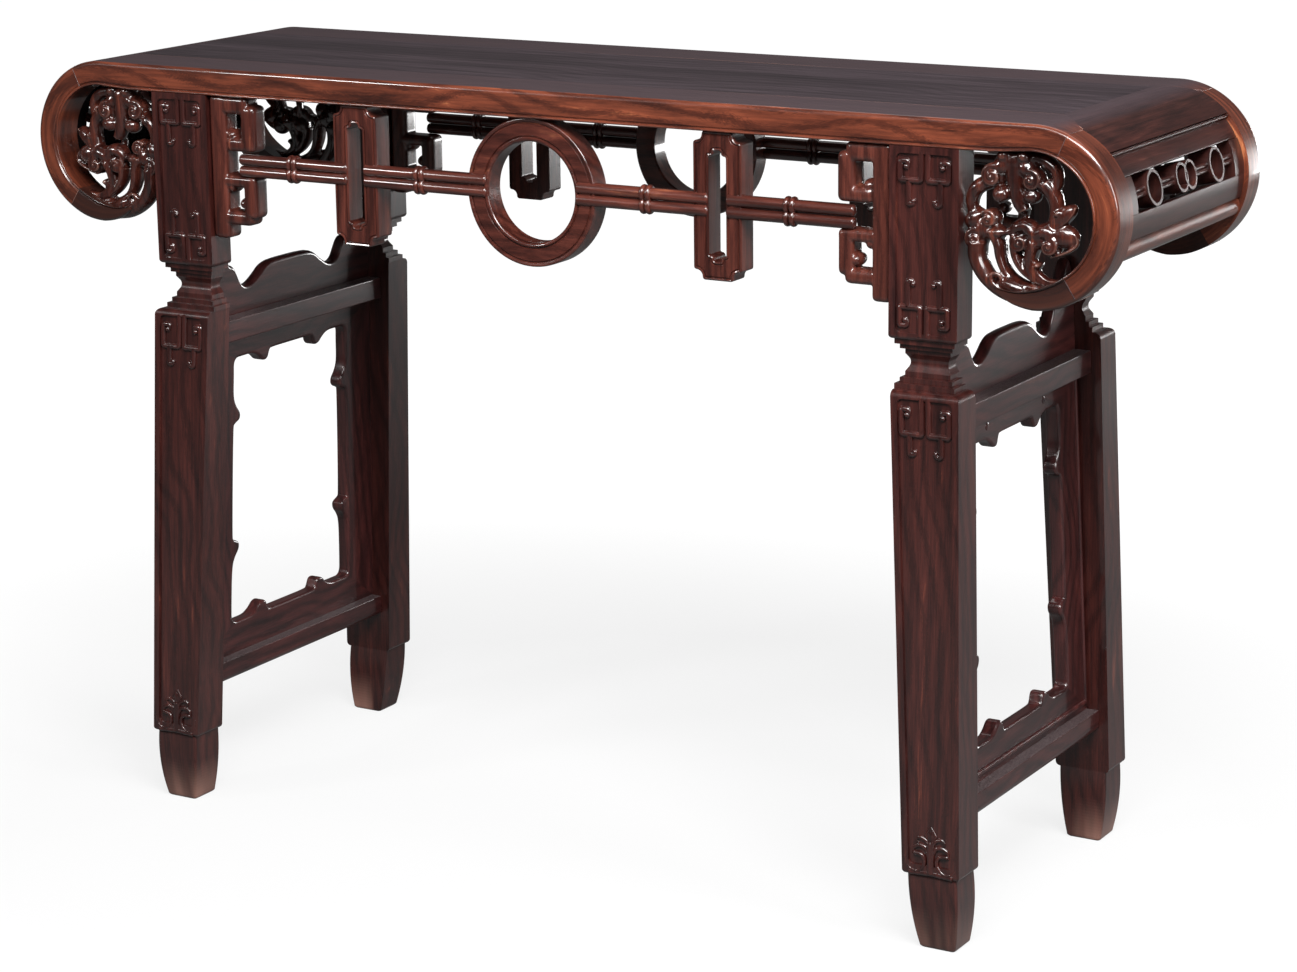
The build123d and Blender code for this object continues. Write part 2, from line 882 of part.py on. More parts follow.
def crest_board():
    """Wavy board that stands on the right upper stretcher."""
    base = upper_stretcher_top
    cusp_foot = crest_cusp - crest_cusp_rise
    half = [
        (crest_hump_half_width, base + crest_hump, crest_hump_radius),
        (crest_dip_offset, base + crest_dip, crest_dip_radius),
        (crest_cusp_offset - crest_cusp_run, base + cusp_foot, spur_tip_radius),
        (crest_cusp_offset, base + crest_cusp, spur_cusp_radius),
        (crest_shoulder_offset, base + crest_shoulder, crest_shoulder_radius),
        (block_inner_y, base + crest_end_rise, 0),
        (block_inner_y, block_bottom, 0),
        (shaft_top_inner_y, shaft_top, 0),
        (leg_inner_y(base), base, 0),
    ]
    face = rounded_face(mirrored_corners(half))
    board = side_plate(face, 0, far) & side_slab(crest_thickness)
    return board + crest_tongue()


def ring_side_y(z):
    """Half the width of the ring boards' opening at a height."""
    return leg_inner_y(z) - ring_side_width


def spur():
    """One spur: along the edge from its steep side, out from the edge, radius."""
    half = spur_tip_width / 2
    return [
        (-half - spur_steep_run, 0, spur_cusp_radius),
        (-half, spur_height, spur_tip_radius),
        (half, spur_height, spur_sweep_radius),
        (half + spur_long_run, 0, spur_sweep_radius),
    ]


def ring_opening():
    """Outline of the side opening with its eight cusped spurs."""
    top = upper_stretcher_top - stretcher_height - ring_top_width
    low = lower_stretcher_top + ring_bottom_width
    upper = top - side_spur_from_top
    lower = low + side_spur_from_bottom
    half = []
    for along, out, radius in spur():
        half.append((top_spur_offset + along, top - out, radius))
    half.append((ring_side_y(top), top, ring_corner_radius))
    for along, out, radius in reversed(spur()):
        half.append((ring_side_y(upper + along) - out, upper + along, radius))
    for along, out, radius in spur():
        half.append((ring_side_y(lower - along) - out, lower - along, radius))
    half.append((ring_side_y(low), low, ring_corner_radius))
    for along, out, radius in reversed(spur()):
        half.append((bottom_spur_offset + along, low + out, radius))
    return rounded_face(mirrored_corners(half))


def ring_frame_face():
    """The four boards that line the side opening, before they are parted."""
    top = upper_stretcher_top - stretcher_height
    low = lower_stretcher_top
    half = [(leg_inner_y(top), top, 0), (leg_inner_y(low), low, 0)]
    return rounded_face(mirrored_corners(half)) - ring_opening()


def ring_wedge(side):
    """The part of the side view that the top (1) or bottom (-1) board takes."""
    top = upper_stretcher_top - stretcher_height
    low = lower_stretcher_top
    edge = top if side > 0 else low
    width = ring_top_width if side > 0 else ring_bottom_width
    inner = edge - side * width
    half = [
        (leg_inner_y(edge), edge, 0),
        (ring_side_y(inner), inner, 0),
        (top_spur_offset, (top + low) / 2, 0),
    ]
    return rounded_face(mirrored_corners(half))


def ring_boards():
    """Top, bottom, front and back boards of the right side opening."""
    frame = ring_frame_face()
    slab = side_slab(ring_board_thickness)
    top = frame & ring_wedge(1)
    bottom = frame & ring_wedge(-1)
    sides = (frame - ring_wedge(1) - ring_wedge(-1)).faces()
    front, back = sorted(sides, key=lambda face: face.center().X)
    parts = []
    for face in (top, bottom, front, back):
        parts.append(side_plate(Sketch() + face, 0, far) & slab)
    parts[0] = parts[0] + ring_top_tongue()
    parts[1] = parts[1] + ring_bottom_tongue()
    return parts


# ------------------------------------------------------------------- aprons


def loop_face(x):
    """Outline of a long loop with notched corners, slot not yet cut."""
    middle = rail_bottom - apron_height / 2
    face = Pos(x, middle) * Rectangle(loop_width, apron_height)
    for across in (-1, 1):
        for up in (-1, 1):
            corner = (x + across * loop_width / 2, middle + up * apron_height / 2)
            face -= Pos(*corner) * Circle(loop_corner_radius)
    return face


def loop_slot(x):
    """Slot through a loop."""
    middle = rail_bottom - apron_height / 2
    slot = RectangleRounded(loop_slot_width, loop_slot_height, loop_slot_radius)
    return Pos(x, middle) * slot


def apron_plate(face):
    """Give a piece of the front apron its thickness."""
    return front_plate(face, apron_front_y, apron_back_y)


def loop(side):
    """Loop of the front apron to the right (1) or left (-1) of the ring."""
    x = side * loop_offset
    body = apron_plate(loop_face(x) - loop_slot(x))
    return body - rod_housing() + apron_tenon(x, rail_bottom)


def central_ring():
    """Round ring in the middle of the front apron."""
    rim = Circle(ring_radius) - Circle(ring_inner_radius)
    body = apron_plate(Pos(0, ring_centre_z) * rim) - rod_housing()
    seat = apron_tenon(0, ring_centre_z + ring_inner_radius + ring_width / 2)
    return body + seat


def bracket_bar(left, right, low, high):
    """A bar of the corner bracket with rounded corners."""
    place = Pos((left + right) / 2, (low + high) / 2)
    width = right - left
    height = high - low
    radius = min(bracket_corner_radius, corner_share * min(width, height))
    return place * RectangleRounded(width, height, radius)


def bracket_face():
    """Key-fret outline of the right corner bracket."""
    left = half_span - bracket_width
    stem = half_span - bracket_stem_width
    top = rail_bottom
    hook_end = stem - bracket_hook_gap
    rods_top = rod_centre_z + rod_height / 2
    rods_low = rod_centre_z - rod_height / 2
    low = rail_bottom - bracket_height
    bottom = low + bracket_foot_height
    ball = bracket_ball_radius
    stem_face = Pos(half_span - bracket_stem_width / 2, (top + low) / 2)
    face = stem_face * Rectangle(bracket_stem_width, top - low)
    face += bracket_bar(left, half_span, top - bracket_stroke, top)
    face += bracket_bar(left, left + bracket_stroke, bottom + bracket_bar_height, top)
    face += bracket_bar(left, hook_end, rods_top, rods_top + bracket_bar_height)
    face += bracket_bar(left, hook_end, rods_low - bracket_lower_bar_height, rods_low)
    face += Pos(hook_end - ball, rods_top + bracket_bar_height - ball / 2) * Circle(ball)
    face += Pos(hook_end - ball, rods_low - bracket_lower_bar_height) * Circle(ball)
    foot_left = left + bracket_foot_inset
    face += bracket_bar(
        foot_left, half_span, bottom, bottom + bracket_bar_height + 2 * bracket_corner_radius
    )
    face += Pos(foot_left + ball, bottom + bracket_bar_height + ball / 2) * Circle(ball)
    return face


def bracket():
    """Right corner bracket of the front apron."""
    body = apron_plate(bracket_face()) - rod_housing()
    return body + apron_tenon(bracket_tenon_x(), rail_bottom)


def rod_section():
    """Section of the paired rods: two round reeds in front and two behind."""
    front = apron_front_y + rod_proud - rod_radius
    back = apron_back_y - rod_proud + rod_radius
    middle = (front + back) / 2
    section = Pos(-middle, rod_centre_z) * Rectangle(front - back, rod_height)
    for y in (front, back):
        for side in (-1, 1):
            section += Pos(-y, rod_centre_z + side * rod_radius) * Circle(rod_radius)
    return section


def rod_room():
    """Where rods pass behind the faces of ring, loops and brackets."""
    outlines = Pos(0, ring_centre_z) * Circle(ring_radius)
    middle = rail_bottom - apron_height / 2
    for side in (-1, 1):
        x = side * loop_offset
        outlines += Pos(x, middle) * Rectangle(loop_width, apron_height)
        inside = side * (half_span - bracket_width / 2)
        outlines += Pos(inside, middle) * Rectangle(bracket_width, apron_height)
    lap = apron_front_y + rod_proud - rod_lap_depth
    return front_plate(outlines, lap, 0)


def collar(x):
    """Two beads that clasp a pair of rods."""
    depth = apron_thickness + 2 * rod_proud + collar_overlap
    height = rod_height + 2 * collar_overlap
    middle = -(apron_front_y + apron_back_y) / 2
    bead = collar_width / 2
    face = Pos(middle, rod_centre_z) * RectangleRounded(depth, height, rod_radius)
    pair = Part()
    for start in (x - bead, x):
        body = side_plate(face, start, start + bead)
        ends = body.edges().filter_by(Axis.X, reverse=True)
        pair += fillet(ends, collar_rounding)
    return pair


def rod_ends():
    """Where the inner and the outer rods start and end on the right."""
    slot = loop_slot_width / 2
    bracket_end = half_span - bracket_width + bracket_stroke + rod_overlap
    inner = (ring_inner_radius - rod_overlap, loop_offset - slot)
    outer = (loop_offset + slot - rod_overlap, bracket_end)
    return inner, outer


def inner_rods():
    """Pair of rods from the ring to the right loop, in one piece."""
    start, end = rod_ends()[0]
    bar = side_plate(rod_section(), start, end) - rod_room()
    return bar + collar(collar_inner_offset)


def outer_rods():
    """Pair of rods from the right loop to the corner bracket, in one piece."""
    start, end = rod_ends()[1]
    bar = side_plate(rod_section(), start, end) - rod_room()
    return bar + collar(collar_outer_offset)


def rod_housing():
    """What the rods take out of ring, loops and brackets where they lap them."""
    reed_y = apron_front_y + rod_proud - rod_radius / 2
    groove = Pos(-reed_y, rod_centre_z) * Rectangle(rod_radius, 2 * rod_radius)
    section = rod_section() + groove
    housing = Part()
    for start, end in rod_ends():
        housing += side_plate(section, start, end) - rod_room()
    return housing + mirror(housing, about=Plane.YZ)


# ------------------------------------------------------------------- export


def mirrored_x(shape):
    """The same piece on the left."""
    return mirror(shape, about=Plane.YZ)


def mirrored_y(shape):
    """The same piece at the back."""
    return mirror(shape, about=Plane.XZ)


def collect_pieces():
    """Every piece of the table under the name a joiner would use."""
    pieces = {"top_panel": panel(), "top_battens": Compound(children=battens())}
    rail = front_rail()
    pieces["front_rail"] = rail
    pieces["back_rail"] = mirrored_y(rail)

    ends = {
        "end_board": end_board(),
        "end_upper_rail": end_rail(1),
        "end_lower_rail": end_rail(-1),
        "end_stiles": Compound(children=end_stiles()),
        "end_rings": end_rings(),
        "end_moulding": end_moulding(),
        "upper_stretcher": upper_stretcher(),
        "lower_stretcher": lower_stretcher(),
        "crest_board": crest_board(),
    }
    names = ("ring_board_top", "ring_board_bottom", "ring_board_front", "ring_board_back")
    ends.update(zip(names, ring_boards()))
    for name, piece in ends.items():
        pieces["right_" + name] = piece
        pieces["left_" + name] = mirrored_x(piece)

    corners = {
        "scroll": scroll(),
        "scroll_tip": scroll_tip(),
        "leg": leg(),
        "corner_bracket": bracket(),
        "loop": loop(1),
        "inner_rods": inner_rods(),
        "outer_rods": outer_rods(),
    }
    for name, piece in corners.items():
        pieces["front_right_" + name] = piece
        pieces["front_left_" + name] = mirrored_x(piece)
        pieces["back_right_" + name] = mirrored_y(piece)
        pieces["back_left_" + name] = mirrored_y(mirrored_x(piece))

    ring = central_ring()
    pieces["front_ring"] = ring
    pieces["back_ring"] = mirrored_y(ring)
    return pieces


def main():
    """Write one STEP file for each piece."""
    os.makedirs("parts", exist_ok=True)
    for name, piece in collect_pieces().items():
        export_step(piece, os.path.join("parts", name + ".step"))


main()
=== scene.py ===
# %% [markdown]
# # A Chinese altar table with scrolled ends
#
# The table is an assembly of carved and polished rosewood pieces: a framed top whose
# ends roll down into scrolls, four splayed legs, two side frames and two openwork
# aprons. The frame file holds every piece at its real size. Here each piece gets the
# shape that a carver's plane and gouge leave on it, and its finish.

# %% Load the frame
import json
from math import asin, atan2, cos, degrees, inf, pi, radians, sin

import bmesh
import bpy
from mathutils import Matrix, Vector


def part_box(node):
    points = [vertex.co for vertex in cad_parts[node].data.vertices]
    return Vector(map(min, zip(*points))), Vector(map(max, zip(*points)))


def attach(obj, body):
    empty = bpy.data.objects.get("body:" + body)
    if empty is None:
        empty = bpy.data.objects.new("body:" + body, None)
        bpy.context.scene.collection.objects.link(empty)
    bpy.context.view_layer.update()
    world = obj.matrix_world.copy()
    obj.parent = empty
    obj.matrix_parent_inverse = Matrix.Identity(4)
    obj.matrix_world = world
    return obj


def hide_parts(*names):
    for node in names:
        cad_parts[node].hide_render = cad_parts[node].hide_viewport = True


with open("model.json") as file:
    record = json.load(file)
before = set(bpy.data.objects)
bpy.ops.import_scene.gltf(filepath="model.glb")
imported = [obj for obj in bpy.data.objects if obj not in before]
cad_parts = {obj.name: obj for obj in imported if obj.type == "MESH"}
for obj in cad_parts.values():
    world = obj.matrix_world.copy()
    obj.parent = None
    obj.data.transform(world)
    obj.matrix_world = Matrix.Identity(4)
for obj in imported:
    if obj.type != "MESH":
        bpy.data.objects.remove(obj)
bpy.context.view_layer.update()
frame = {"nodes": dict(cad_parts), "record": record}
bpy.context.scene.view_settings.view_transform = "Standard"
MM = 0.001
print("the frame holds", len(frame["nodes"]), "pieces")


def in_scene(name, data):
    """A new object in the scene."""
    made = bpy.data.objects.new(name, data)
    bpy.context.scene.collection.objects.link(made)
    return made


# %% [markdown]
# ## Camera
#
# A long lens from the right, a little above the top, keeps the legs nearly parallel.
# The camera's place and its three turns are enough, so no shift is needed.

# %% Camera
camera_place = Vector((1.8522, -3.0748, 1.2895))
camera_yaw = radians(30.677)
camera_pitch = radians(14.215)
camera_roll = radians(0.691)
lens_mm = 93.23
sensor_mm = 36.0

ahead = Vector((
    -sin(camera_yaw) * cos(camera_pitch),
    cos(camera_yaw) * cos(camera_pitch),
    -sin(camera_pitch),
))
level = Vector((cos(camera_yaw), sin(camera_yaw), 0))
down = ahead.cross(level)
side = cos(camera_roll) * level + sin(camera_roll) * down
up = sin(camera_roll) * level - cos(camera_roll) * down

camera_data = bpy.data.cameras.new("camera")
camera_data.lens = lens_mm
camera_data.sensor_width = sensor_mm
camera = in_scene("camera", camera_data)
turn = Matrix((side, up, -ahead)).transposed().to_4x4()
camera.matrix_world = Matrix.Translation(camera_place) @ turn
bpy.context.scene.camera = camera
print("camera at", [round(c, 3) for c in camera_place])

# %% [markdown]
# ## Floor and light
#
# The table stands on a white studio floor that runs on behind it. The floor shows as
# white because most of its brightness is given to camera and mirror rays only; the rest
# is plain diffuse, so the table still throws a soft shadow. Large area lamps give the
# long soft highlights that a polished edge shows.

# %% Node helpers
def new_material(name):
    """An empty node material with its output."""
    material = bpy.data.materials.new(name)
    material.use_nodes = True
    tree = material.node_tree
    tree.nodes.clear()
    output = tree.nodes.new("ShaderNodeOutputMaterial")
    return material, tree, output


def feed(tree, socket, value):
    """Link a socket to another one, or set it to a plain value."""
    if isinstance(value, bpy.types.NodeSocket):
        tree.links.new(value, socket)
    else:
        socket.default_value = value


def node(tree, kind, operation=None, **inputs):
    """A shader node with its operation, and some of its inputs set or linked."""
    made = tree.nodes.new(kind)
    if operation:
        made.operation = operation
    for name, value in inputs.items():
        feed(tree, made.inputs[name.replace("_", " ")], value)
    return made


def ray_share(tree, for_camera, for_gloss, otherwise):
    """A strength for the rays that see the surface straight, in a gloss, or by its light."""
    rays = tree.nodes.new("ShaderNodeLightPath")
    share = otherwise
    for kind, strength in (("Is Glossy Ray", for_gloss), ("Is Camera Ray", for_camera)):
        mix = node(tree, "ShaderNodeMix", Factor=rays.outputs[kind], A=share, B=strength)
        share = mix.outputs["Result"]
    return share


# %% Floor
floor_reach = 12.0
floor_shade = (0.12, 0.12, 0.12, 1)
floor_seen = 0.8
floor_near = 0.7
floor_far = 1.7
floor_mirrored = 0.04

floor_mesh = bpy.data.meshes.new("floor")
shape = bmesh.new()
bmesh.ops.create_grid(shape, x_segments=1, y_segments=1, size=floor_reach)
shape.to_mesh(floor_mesh)
shape.free()
floor = in_scene("floor", floor_mesh)
material, tree, output = new_material("studio_floor")
matt = node(tree, "ShaderNodeBsdfDiffuse", Color=floor_shade)
where = tree.nodes.new("ShaderNodeTexCoord").outputs["Object"]
spot = node(tree, "ShaderNodeVectorMath", "LENGTH", Vector=where)
seen = node(
    tree, "ShaderNodeMapRange", Value=spot.outputs["Value"],
    From_Min=floor_near, From_Max=floor_far, To_Min=floor_seen, To_Max=1.0,
)
glow = node(
    tree, "ShaderNodeEmission",
    Strength=ray_share(tree, seen.outputs["Result"], floor_mirrored, 0.0),
)
both = node(tree, "ShaderNodeAddShader")
tree.links.new(matt.outputs[0], both.inputs[0])
tree.links.new(glow.outputs[0], both.inputs[1])
tree.links.new(both.outputs[0], output.inputs["Surface"])
floor_mesh.materials.append(material)

# %% World and lamps
room_light = 0.13
room_mirrored = 0.08
world = bpy.data.worlds.new("studio")
bpy.context.scene.world = world
world.use_nodes = True
sky = world.node_tree
sky.nodes.clear()
sky_output = sky.nodes.new("ShaderNodeOutputWorld")
backdrop = node(
    sky, "ShaderNodeBackground", Color=(1, 1, 1, 1),
    Strength=ray_share(sky, 1.0, room_mirrored, room_light),
)
sky.links.new(backdrop.outputs[0], sky_output.inputs["Surface"])


def lamp(name, stand, aim, size, power):
    """A rectangular softbox on its stand, turned to a point."""
    data = bpy.data.lights.new(name, "AREA")
    data.shape = "RECTANGLE"
    data.size, data.size_y = size
    data.energy = power
    aimed = (Vector(aim) - Vector(stand)).to_track_quat("-Z", "Y")
    in_scene(name, data).matrix_world = Matrix.Translation(stand) @ aimed.to_matrix().to_4x4()


table_middle = (0.0, 0.0, 0.5)
table_top = (0.1, 0.0, 0.85)
lamp("key", (0.9, -1.8, 2.2), table_top, (1.0, 0.75), 46)
lamp("right_key", (1.8, -1.45, 2.6), table_top, (1.0, 0.7), 80)
lamp("left_key", (-1.6, -1.9, 1.6), table_top, (0.35, 0.3), 18)
lamp("front_strip", (0.6, -1.7, 2.6), table_middle, (2.8, 0.35), 34)
lamp("right_box", (3.2, -0.5, 1.6), table_middle, (0.9, 1.3), 58)
lamp("overhead", (0.2, 0.9, 2.6), table_middle, (2.4, 0.6), 8)
lamp("back_fill", (0.9, 3.0, 0.55), table_middle, (1.4, 0.5), 36)
print("floor and lamps are in place")

# %% [markdown]
# ## Rosewood
#
# Polished hongmu is a red-brown timber with near-black veins and short open pores. Its
# look depends on which way a piece was sawn from the board, so every piece carries its
# own `grain` attribute: distance along the grain, across it and through it, moved by
# an amount of its own so that no two pieces share a figure. One recipe then serves
# every piece: broad tone, dark veins, fine fibres and pores, and a clear polish.

# %% Rosewood helpers
colour_base, colour_layer, colour_result = 6, 7, 2


def stretched(tree, field, stretch):
    """The grain field squeezed lengthways, so that what reads it runs along the wood."""
    return node(tree, "ShaderNodeMapping", Vector=field, Scale=stretch).outputs[0]


def noise(tree, field, scale, detail, **more):
    """The value of a noise that reads a field."""
    made = node(tree, "ShaderNodeTexNoise", Vector=field, Scale=scale, Detail=detail, **more)
    return made.outputs["Fac"]


def attribute(tree, name):
    """A value that the mesh carries under a name."""
    made = tree.nodes.new("ShaderNodeAttribute")
    made.attribute_name = name
    return made


def maths(tree, operation, *values):
    """The result of a sum whose values are numbers or sockets."""
    made = node(tree, "ShaderNodeMath", operation)
    for socket, value in zip(made.inputs, values):
        feed(tree, socket, value)
    return made.outputs[0]


def between(tree, value, **limits):
    """A value carried from one range to another."""
    return node(tree, "ShaderNodeMapRange", Value=value, **limits).outputs["Result"]


def ramp(tree, value, stops):
    """A colour ramp from (position, colour) pairs."""
    made = node(tree, "ShaderNodeValToRGB", Fac=value)
    elements = made.color_ramp.elements
    while len(elements) < len(stops):
        elements.new(0.5)
    for element, (position, colour) in zip(elements, stops):
        element.position = position
        element.color = (*colour, 1)
    return made.outputs["Color"]


def plain_colour(tree, colour):
    """One colour as a socket."""
    made = tree.nodes.new("ShaderNodeRGB")
    made.outputs[0].default_value = (*colour, 1)
    return made.outputs[0]


def laid_over(tree, base, layer, share, blend="MIX"):
    """One colour laid over another, by a share that may vary."""
    mix = tree.nodes.new("ShaderNodeMix")
    mix.data_type = "RGBA"
    mix.blend_type = blend
    feed(tree, mix.inputs[0], share)
    feed(tree, mix.inputs[colour_base], base)
    feed(tree, mix.inputs[colour_layer], layer)
    return mix.outputs[colour_result]


# %% The figure: veins, rings, tone and fibres
board_stretch = (0.06, 1.0, 0.4)
thread_stretch = (0.025, 1.0, 0.6)
ring_stretch = (0.05, 1.0, 1.0)
vein_scale = 150.0
tone_scale = 26.0
fibre_scale = 850.0
pore_scale = 1500.0
warp_scale = 5.0
ring_scale = 36.0
ring_wander = 0.09
clear = (1, 1, 1)
ring_shade = (0.3, 0.26, 0.28)
tone_shade = (0.5, 0.46, 0.48)
pore_shade = (0.4, 0.34, 0.36)
tone_share = 0.8
fibre_share = 0.45


def sawn_figure(tree, field, tone, fibre, colours, figure, veins):
    """The bare wood's colour; the colours run from its veins to its lights."""
    dark, mid, light = colours
    board = stretched(tree, field, board_stretch)
    vein = noise(tree, board, vein_scale, 6.0, Roughness=0.68, Distortion=0.4)
    warp = node(
        tree, "ShaderNodeTexNoise", Vector=field, Scale=warp_scale, Detail=1.0
    ).outputs["Color"]
    bent = node(tree, "ShaderNodeVectorMath", "MULTIPLY_ADD", Vector=warp)
    feed(tree, bent.inputs[1], (0.0, ring_wander, ring_wander))
    feed(tree, bent.inputs[2], field)
    ring = node(
        tree, "ShaderNodeTexWave", Vector=stretched(tree, bent.outputs[0], ring_stretch),
        Scale=ring_scale, Distortion=3.0, Detail=3.0, Detail_Scale=40.0, Detail_Roughness=0.6,
    )
    ring.bands_direction = "DIAGONAL"
    wood = ramp(tree, vein, [(0.5 - 0.3 * veins, dark), (0.5 + 0.16 * veins, mid), (0.74, light)])
    for value, stops, share in (
        (ring.outputs["Fac"], [(0.04, ring_shade), (0.5, clear)], figure),
        (tone, [(0.34, tone_shade), (0.64, clear)], tone_share),
        (fibre, [(0.36, pore_shade), (0.6, clear)], fibre_share),
    ):
        wood = laid_over(tree, wood, ramp(tree, value, stops), share, "MULTIPLY")
    return wood


# %% Wear, and what settles on the ledges
wear_colour = (0.26, 0.13, 0.1)
dark_film = (0.05, 0.033, 0.038)
dust = (0.1, 0.075, 0.075)
# unlit is the near-black colour of painted shade, laid on faces in the scroll's hollow.
unlit = (0.006, 0.004, 0.004)
speck_scale = 700.0
film_share = 0.6
crest_from, crest_full = 0.52, 0.6
patch_from, patch_full = 0.4, 0.6
level_from, level_full = 0.9, 0.99


def rubbed(tree, wood, tone, worn, carved):
    """Paler wood where cloths rub it: on a carving's crests, or along the rounded arrises."""
    if carved:
        crest = node(tree, "ShaderNodeNewGeometry").outputs["Pointiness"]
        rub = between(tree, crest, From_Min=crest_from, From_Max=crest_full, To_Max=worn)
    else:
        patch = between(tree, tone, From_Min=patch_from, From_Max=patch_full, To_Max=worn)
        rub = maths(tree, "MULTIPLY", attribute(tree, "arris").outputs["Fac"], patch)
    return laid_over(tree, wood, plain_colour(tree, wear_colour), rub)


def film_cover(tree, settled):
    """How much film lies on a face: the whole of it only where the face is level."""
    normal = node(tree, "ShaderNodeNewGeometry").outputs["Normal"]
    level = node(tree, "ShaderNodeSeparateXYZ", Vector=normal).outputs["Z"]
    most = maths(tree, "MULTIPLY", attribute(tree, "film").outputs["Fac"], settled)
    return between(tree, level, From_Min=level_from, From_Max=level_full, To_Max=most)


def film_colour(tree, field, fibre, colour, grit):
    """Old polish or dust, streaked by the fibres and flecked with grit."""
    film = plain_colour(tree, colour)
    speck = noise(tree, field, speck_scale, 2.0)
    for value, stops, share in (
        (fibre, [(0.3, tone_shade), (0.6, clear)], film_share),
        (speck, [(0.42, ring_shade), (0.58, clear)], grit),
    ):
        film = laid_over(tree, film, ramp(tree, value, stops), share, "MULTIPLY")
    return film


# %% The whole recipe, with its polish
smoother = 0.07
rougher = 0.09
film_roughness = 0.12
film_dulling = 0.85
painted_shade_limit = 0.9
wood_shine = 0.3
painted_shade_shine = 0.02
bump_strength = 0.16
bump_depth = 0.0004
coat_roughness = 0.09


def rosewood(name, *colours, coat=0.6, rough=0.34, figure=0.4, veins=0.5, worn=0.5,
             carved=False, settled=0.0, settled_colour=dark_film, grit=0.0):
    """Polished rosewood; faces marked with painted shade darken towards near black, and lose their
    polish where the mark is full.
    """
    material, tree, output = new_material(name)
    field = attribute(tree, "grain").outputs["Vector"]
    thread = stretched(tree, field, thread_stretch)
    tone = noise(tree, stretched(tree, field, board_stretch), tone_scale, 2.0)
    fibre = noise(tree, thread, fibre_scale, 2.0)
    pore = noise(tree, thread, pore_scale, 1.0)

    wood = sawn_figure(tree, field, tone, fibre, colours, figure, veins)
    wood = rubbed(tree, wood, tone, worn, carved)
    cover = film_cover(tree, settled)
    wood = laid_over(tree, wood, film_colour(tree, field, fibre, settled_colour, grit), cover)
    # Painted shade: the mark read here darkens the wood towards the near-black unlit colour, for faces
    # in the scroll's shade.
    painted_shade_share = attribute(tree, "painted_shade").outputs["Fac"]
    wood = laid_over(tree, wood, plain_colour(tree, unlit), painted_shade_share)

    even = between(tree, tone, To_Min=rough - smoother, To_Max=rough + rougher)
    roughness = maths(tree, "MULTIPLY_ADD", cover, film_roughness, even)
    clear_coat = maths(tree, "MULTIPLY_ADD", cover, -coat * film_dulling, coat)
    # Where the painted shade is full, the coat and the shine are taken away, so that these faces stay
    # black like shade.
    painted_shade_full = maths(tree, "GREATER_THAN", painted_shade_share, painted_shade_limit)
    seen = between(tree, painted_shade_full, To_Min=1.0, To_Max=0.0)
    bump = node(
        tree, "ShaderNodeBump", Strength=bump_strength, Distance=bump_depth,
        Height=maths(tree, "ADD", fibre, pore),
    )
    polish = node(
        tree, "ShaderNodeBsdfPrincipled", Base_Color=wood, Roughness=roughness,
        Normal=bump.outputs["Normal"], Coat_Weight=maths(tree, "MULTIPLY", clear_coat, seen),
        Specular_IOR_Level=between(tree, seen, To_Min=painted_shade_shine, To_Max=wood_shine),
        Coat_Roughness=coat_roughness,
    )
    tree.links.new(polish.outputs[0], output.inputs["Surface"])
    return material


# %% The finishes of this table
finishes = {
    "top_board": rosewood(
        "dark_top", (0.02, 0.012, 0.015), (0.064, 0.045, 0.053), (0.094, 0.06, 0.067),
        coat=0.16, rough=0.42, figure=0.35, veins=0.9, worn=0.6,
    ),
    "frame_rosewood": rosewood(
        "streaked_frame", (0.024, 0.005, 0.003), (0.2, 0.048, 0.022), (0.62, 0.22, 0.09),
        coat=0.9, figure=0.75, veins=0.75, settled=0.96,
    ),
    "carved_rosewood": rosewood(
        "carved_polish", (0.014, 0.0035, 0.003), (0.07, 0.016, 0.01), (0.17, 0.045, 0.024),
        coat=1.0, rough=0.26, worn=0.8, carved=True,
    ),
    "leg_rosewood": rosewood(
        "leg_polish", (0.016, 0.0035, 0.0035), (0.072, 0.0165, 0.0125), (0.19, 0.05, 0.028),
        coat=1.0, figure=0.6, veins=0.8, worn=0.8,
    ),
    # Bare wood under the top, its colour also painted near black for the shade it sits in; its darkest
    # tone is the unlit colour of painted shade.
    "underside_wood": rosewood(
        "bare_and_shaded_underside", (0.006, 0.004, 0.004), (0.022, 0.012, 0.01), (0.04, 0.022, 0.018),
        coat=0.0, rough=0.6,
    ),
    "end_rosewood": rosewood(
        "end_polish", (0.01, 0.003, 0.003), (0.055, 0.016, 0.012), (0.12, 0.04, 0.026),
        coat=0.5, rough=0.36, veins=0.8, worn=0.9, settled=0.9,
    ),
    "side_rosewood": rosewood(
        "side_polish", (0.014, 0.004, 0.0045), (0.078, 0.018, 0.016), (0.15, 0.042, 0.03),
        coat=0.8, rough=0.36, figure=0.7, veins=0.8, settled=0.92, settled_colour=dust, grit=1.0,
    ),
    "apron_rosewood": rosewood(
        "apron_polish", (0.02, 0.0045, 0.004), (0.135, 0.034, 0.022), (0.3, 0.1, 0.05),
        coat=0.9, rough=0.3, figure=0.6, veins=0.8, worn=0.8,
    ),
}
slots = {part["node"]: part["material_slot"] for part in frame["record"]["subparts"]}
print("finishes:", sorted(finishes))

# %% [markdown]
# ## Rounding the arrises
#
# A joiner breaks every sharp edge before polishing, and that small round is what
# catches the light. The frame's pieces have sharp edges, so each is copied, its loose
# triangles are merged into whole faces, and its edges are bevelled.

# %% Copy and soften a piece
sharp_turn = radians(28)
crisp_turn = radians(40)
flat_turn = radians(0.6)
merge_reach = 0.002 * MM
ledge_normal = 0.9
grain_axes = {"X": (0, 1, 2), "Y": (1, 0, 2), "Z": (2, 0, 1)}
grain_step = Vector((0.731, 0.377, 0.193))
piece_count = 0


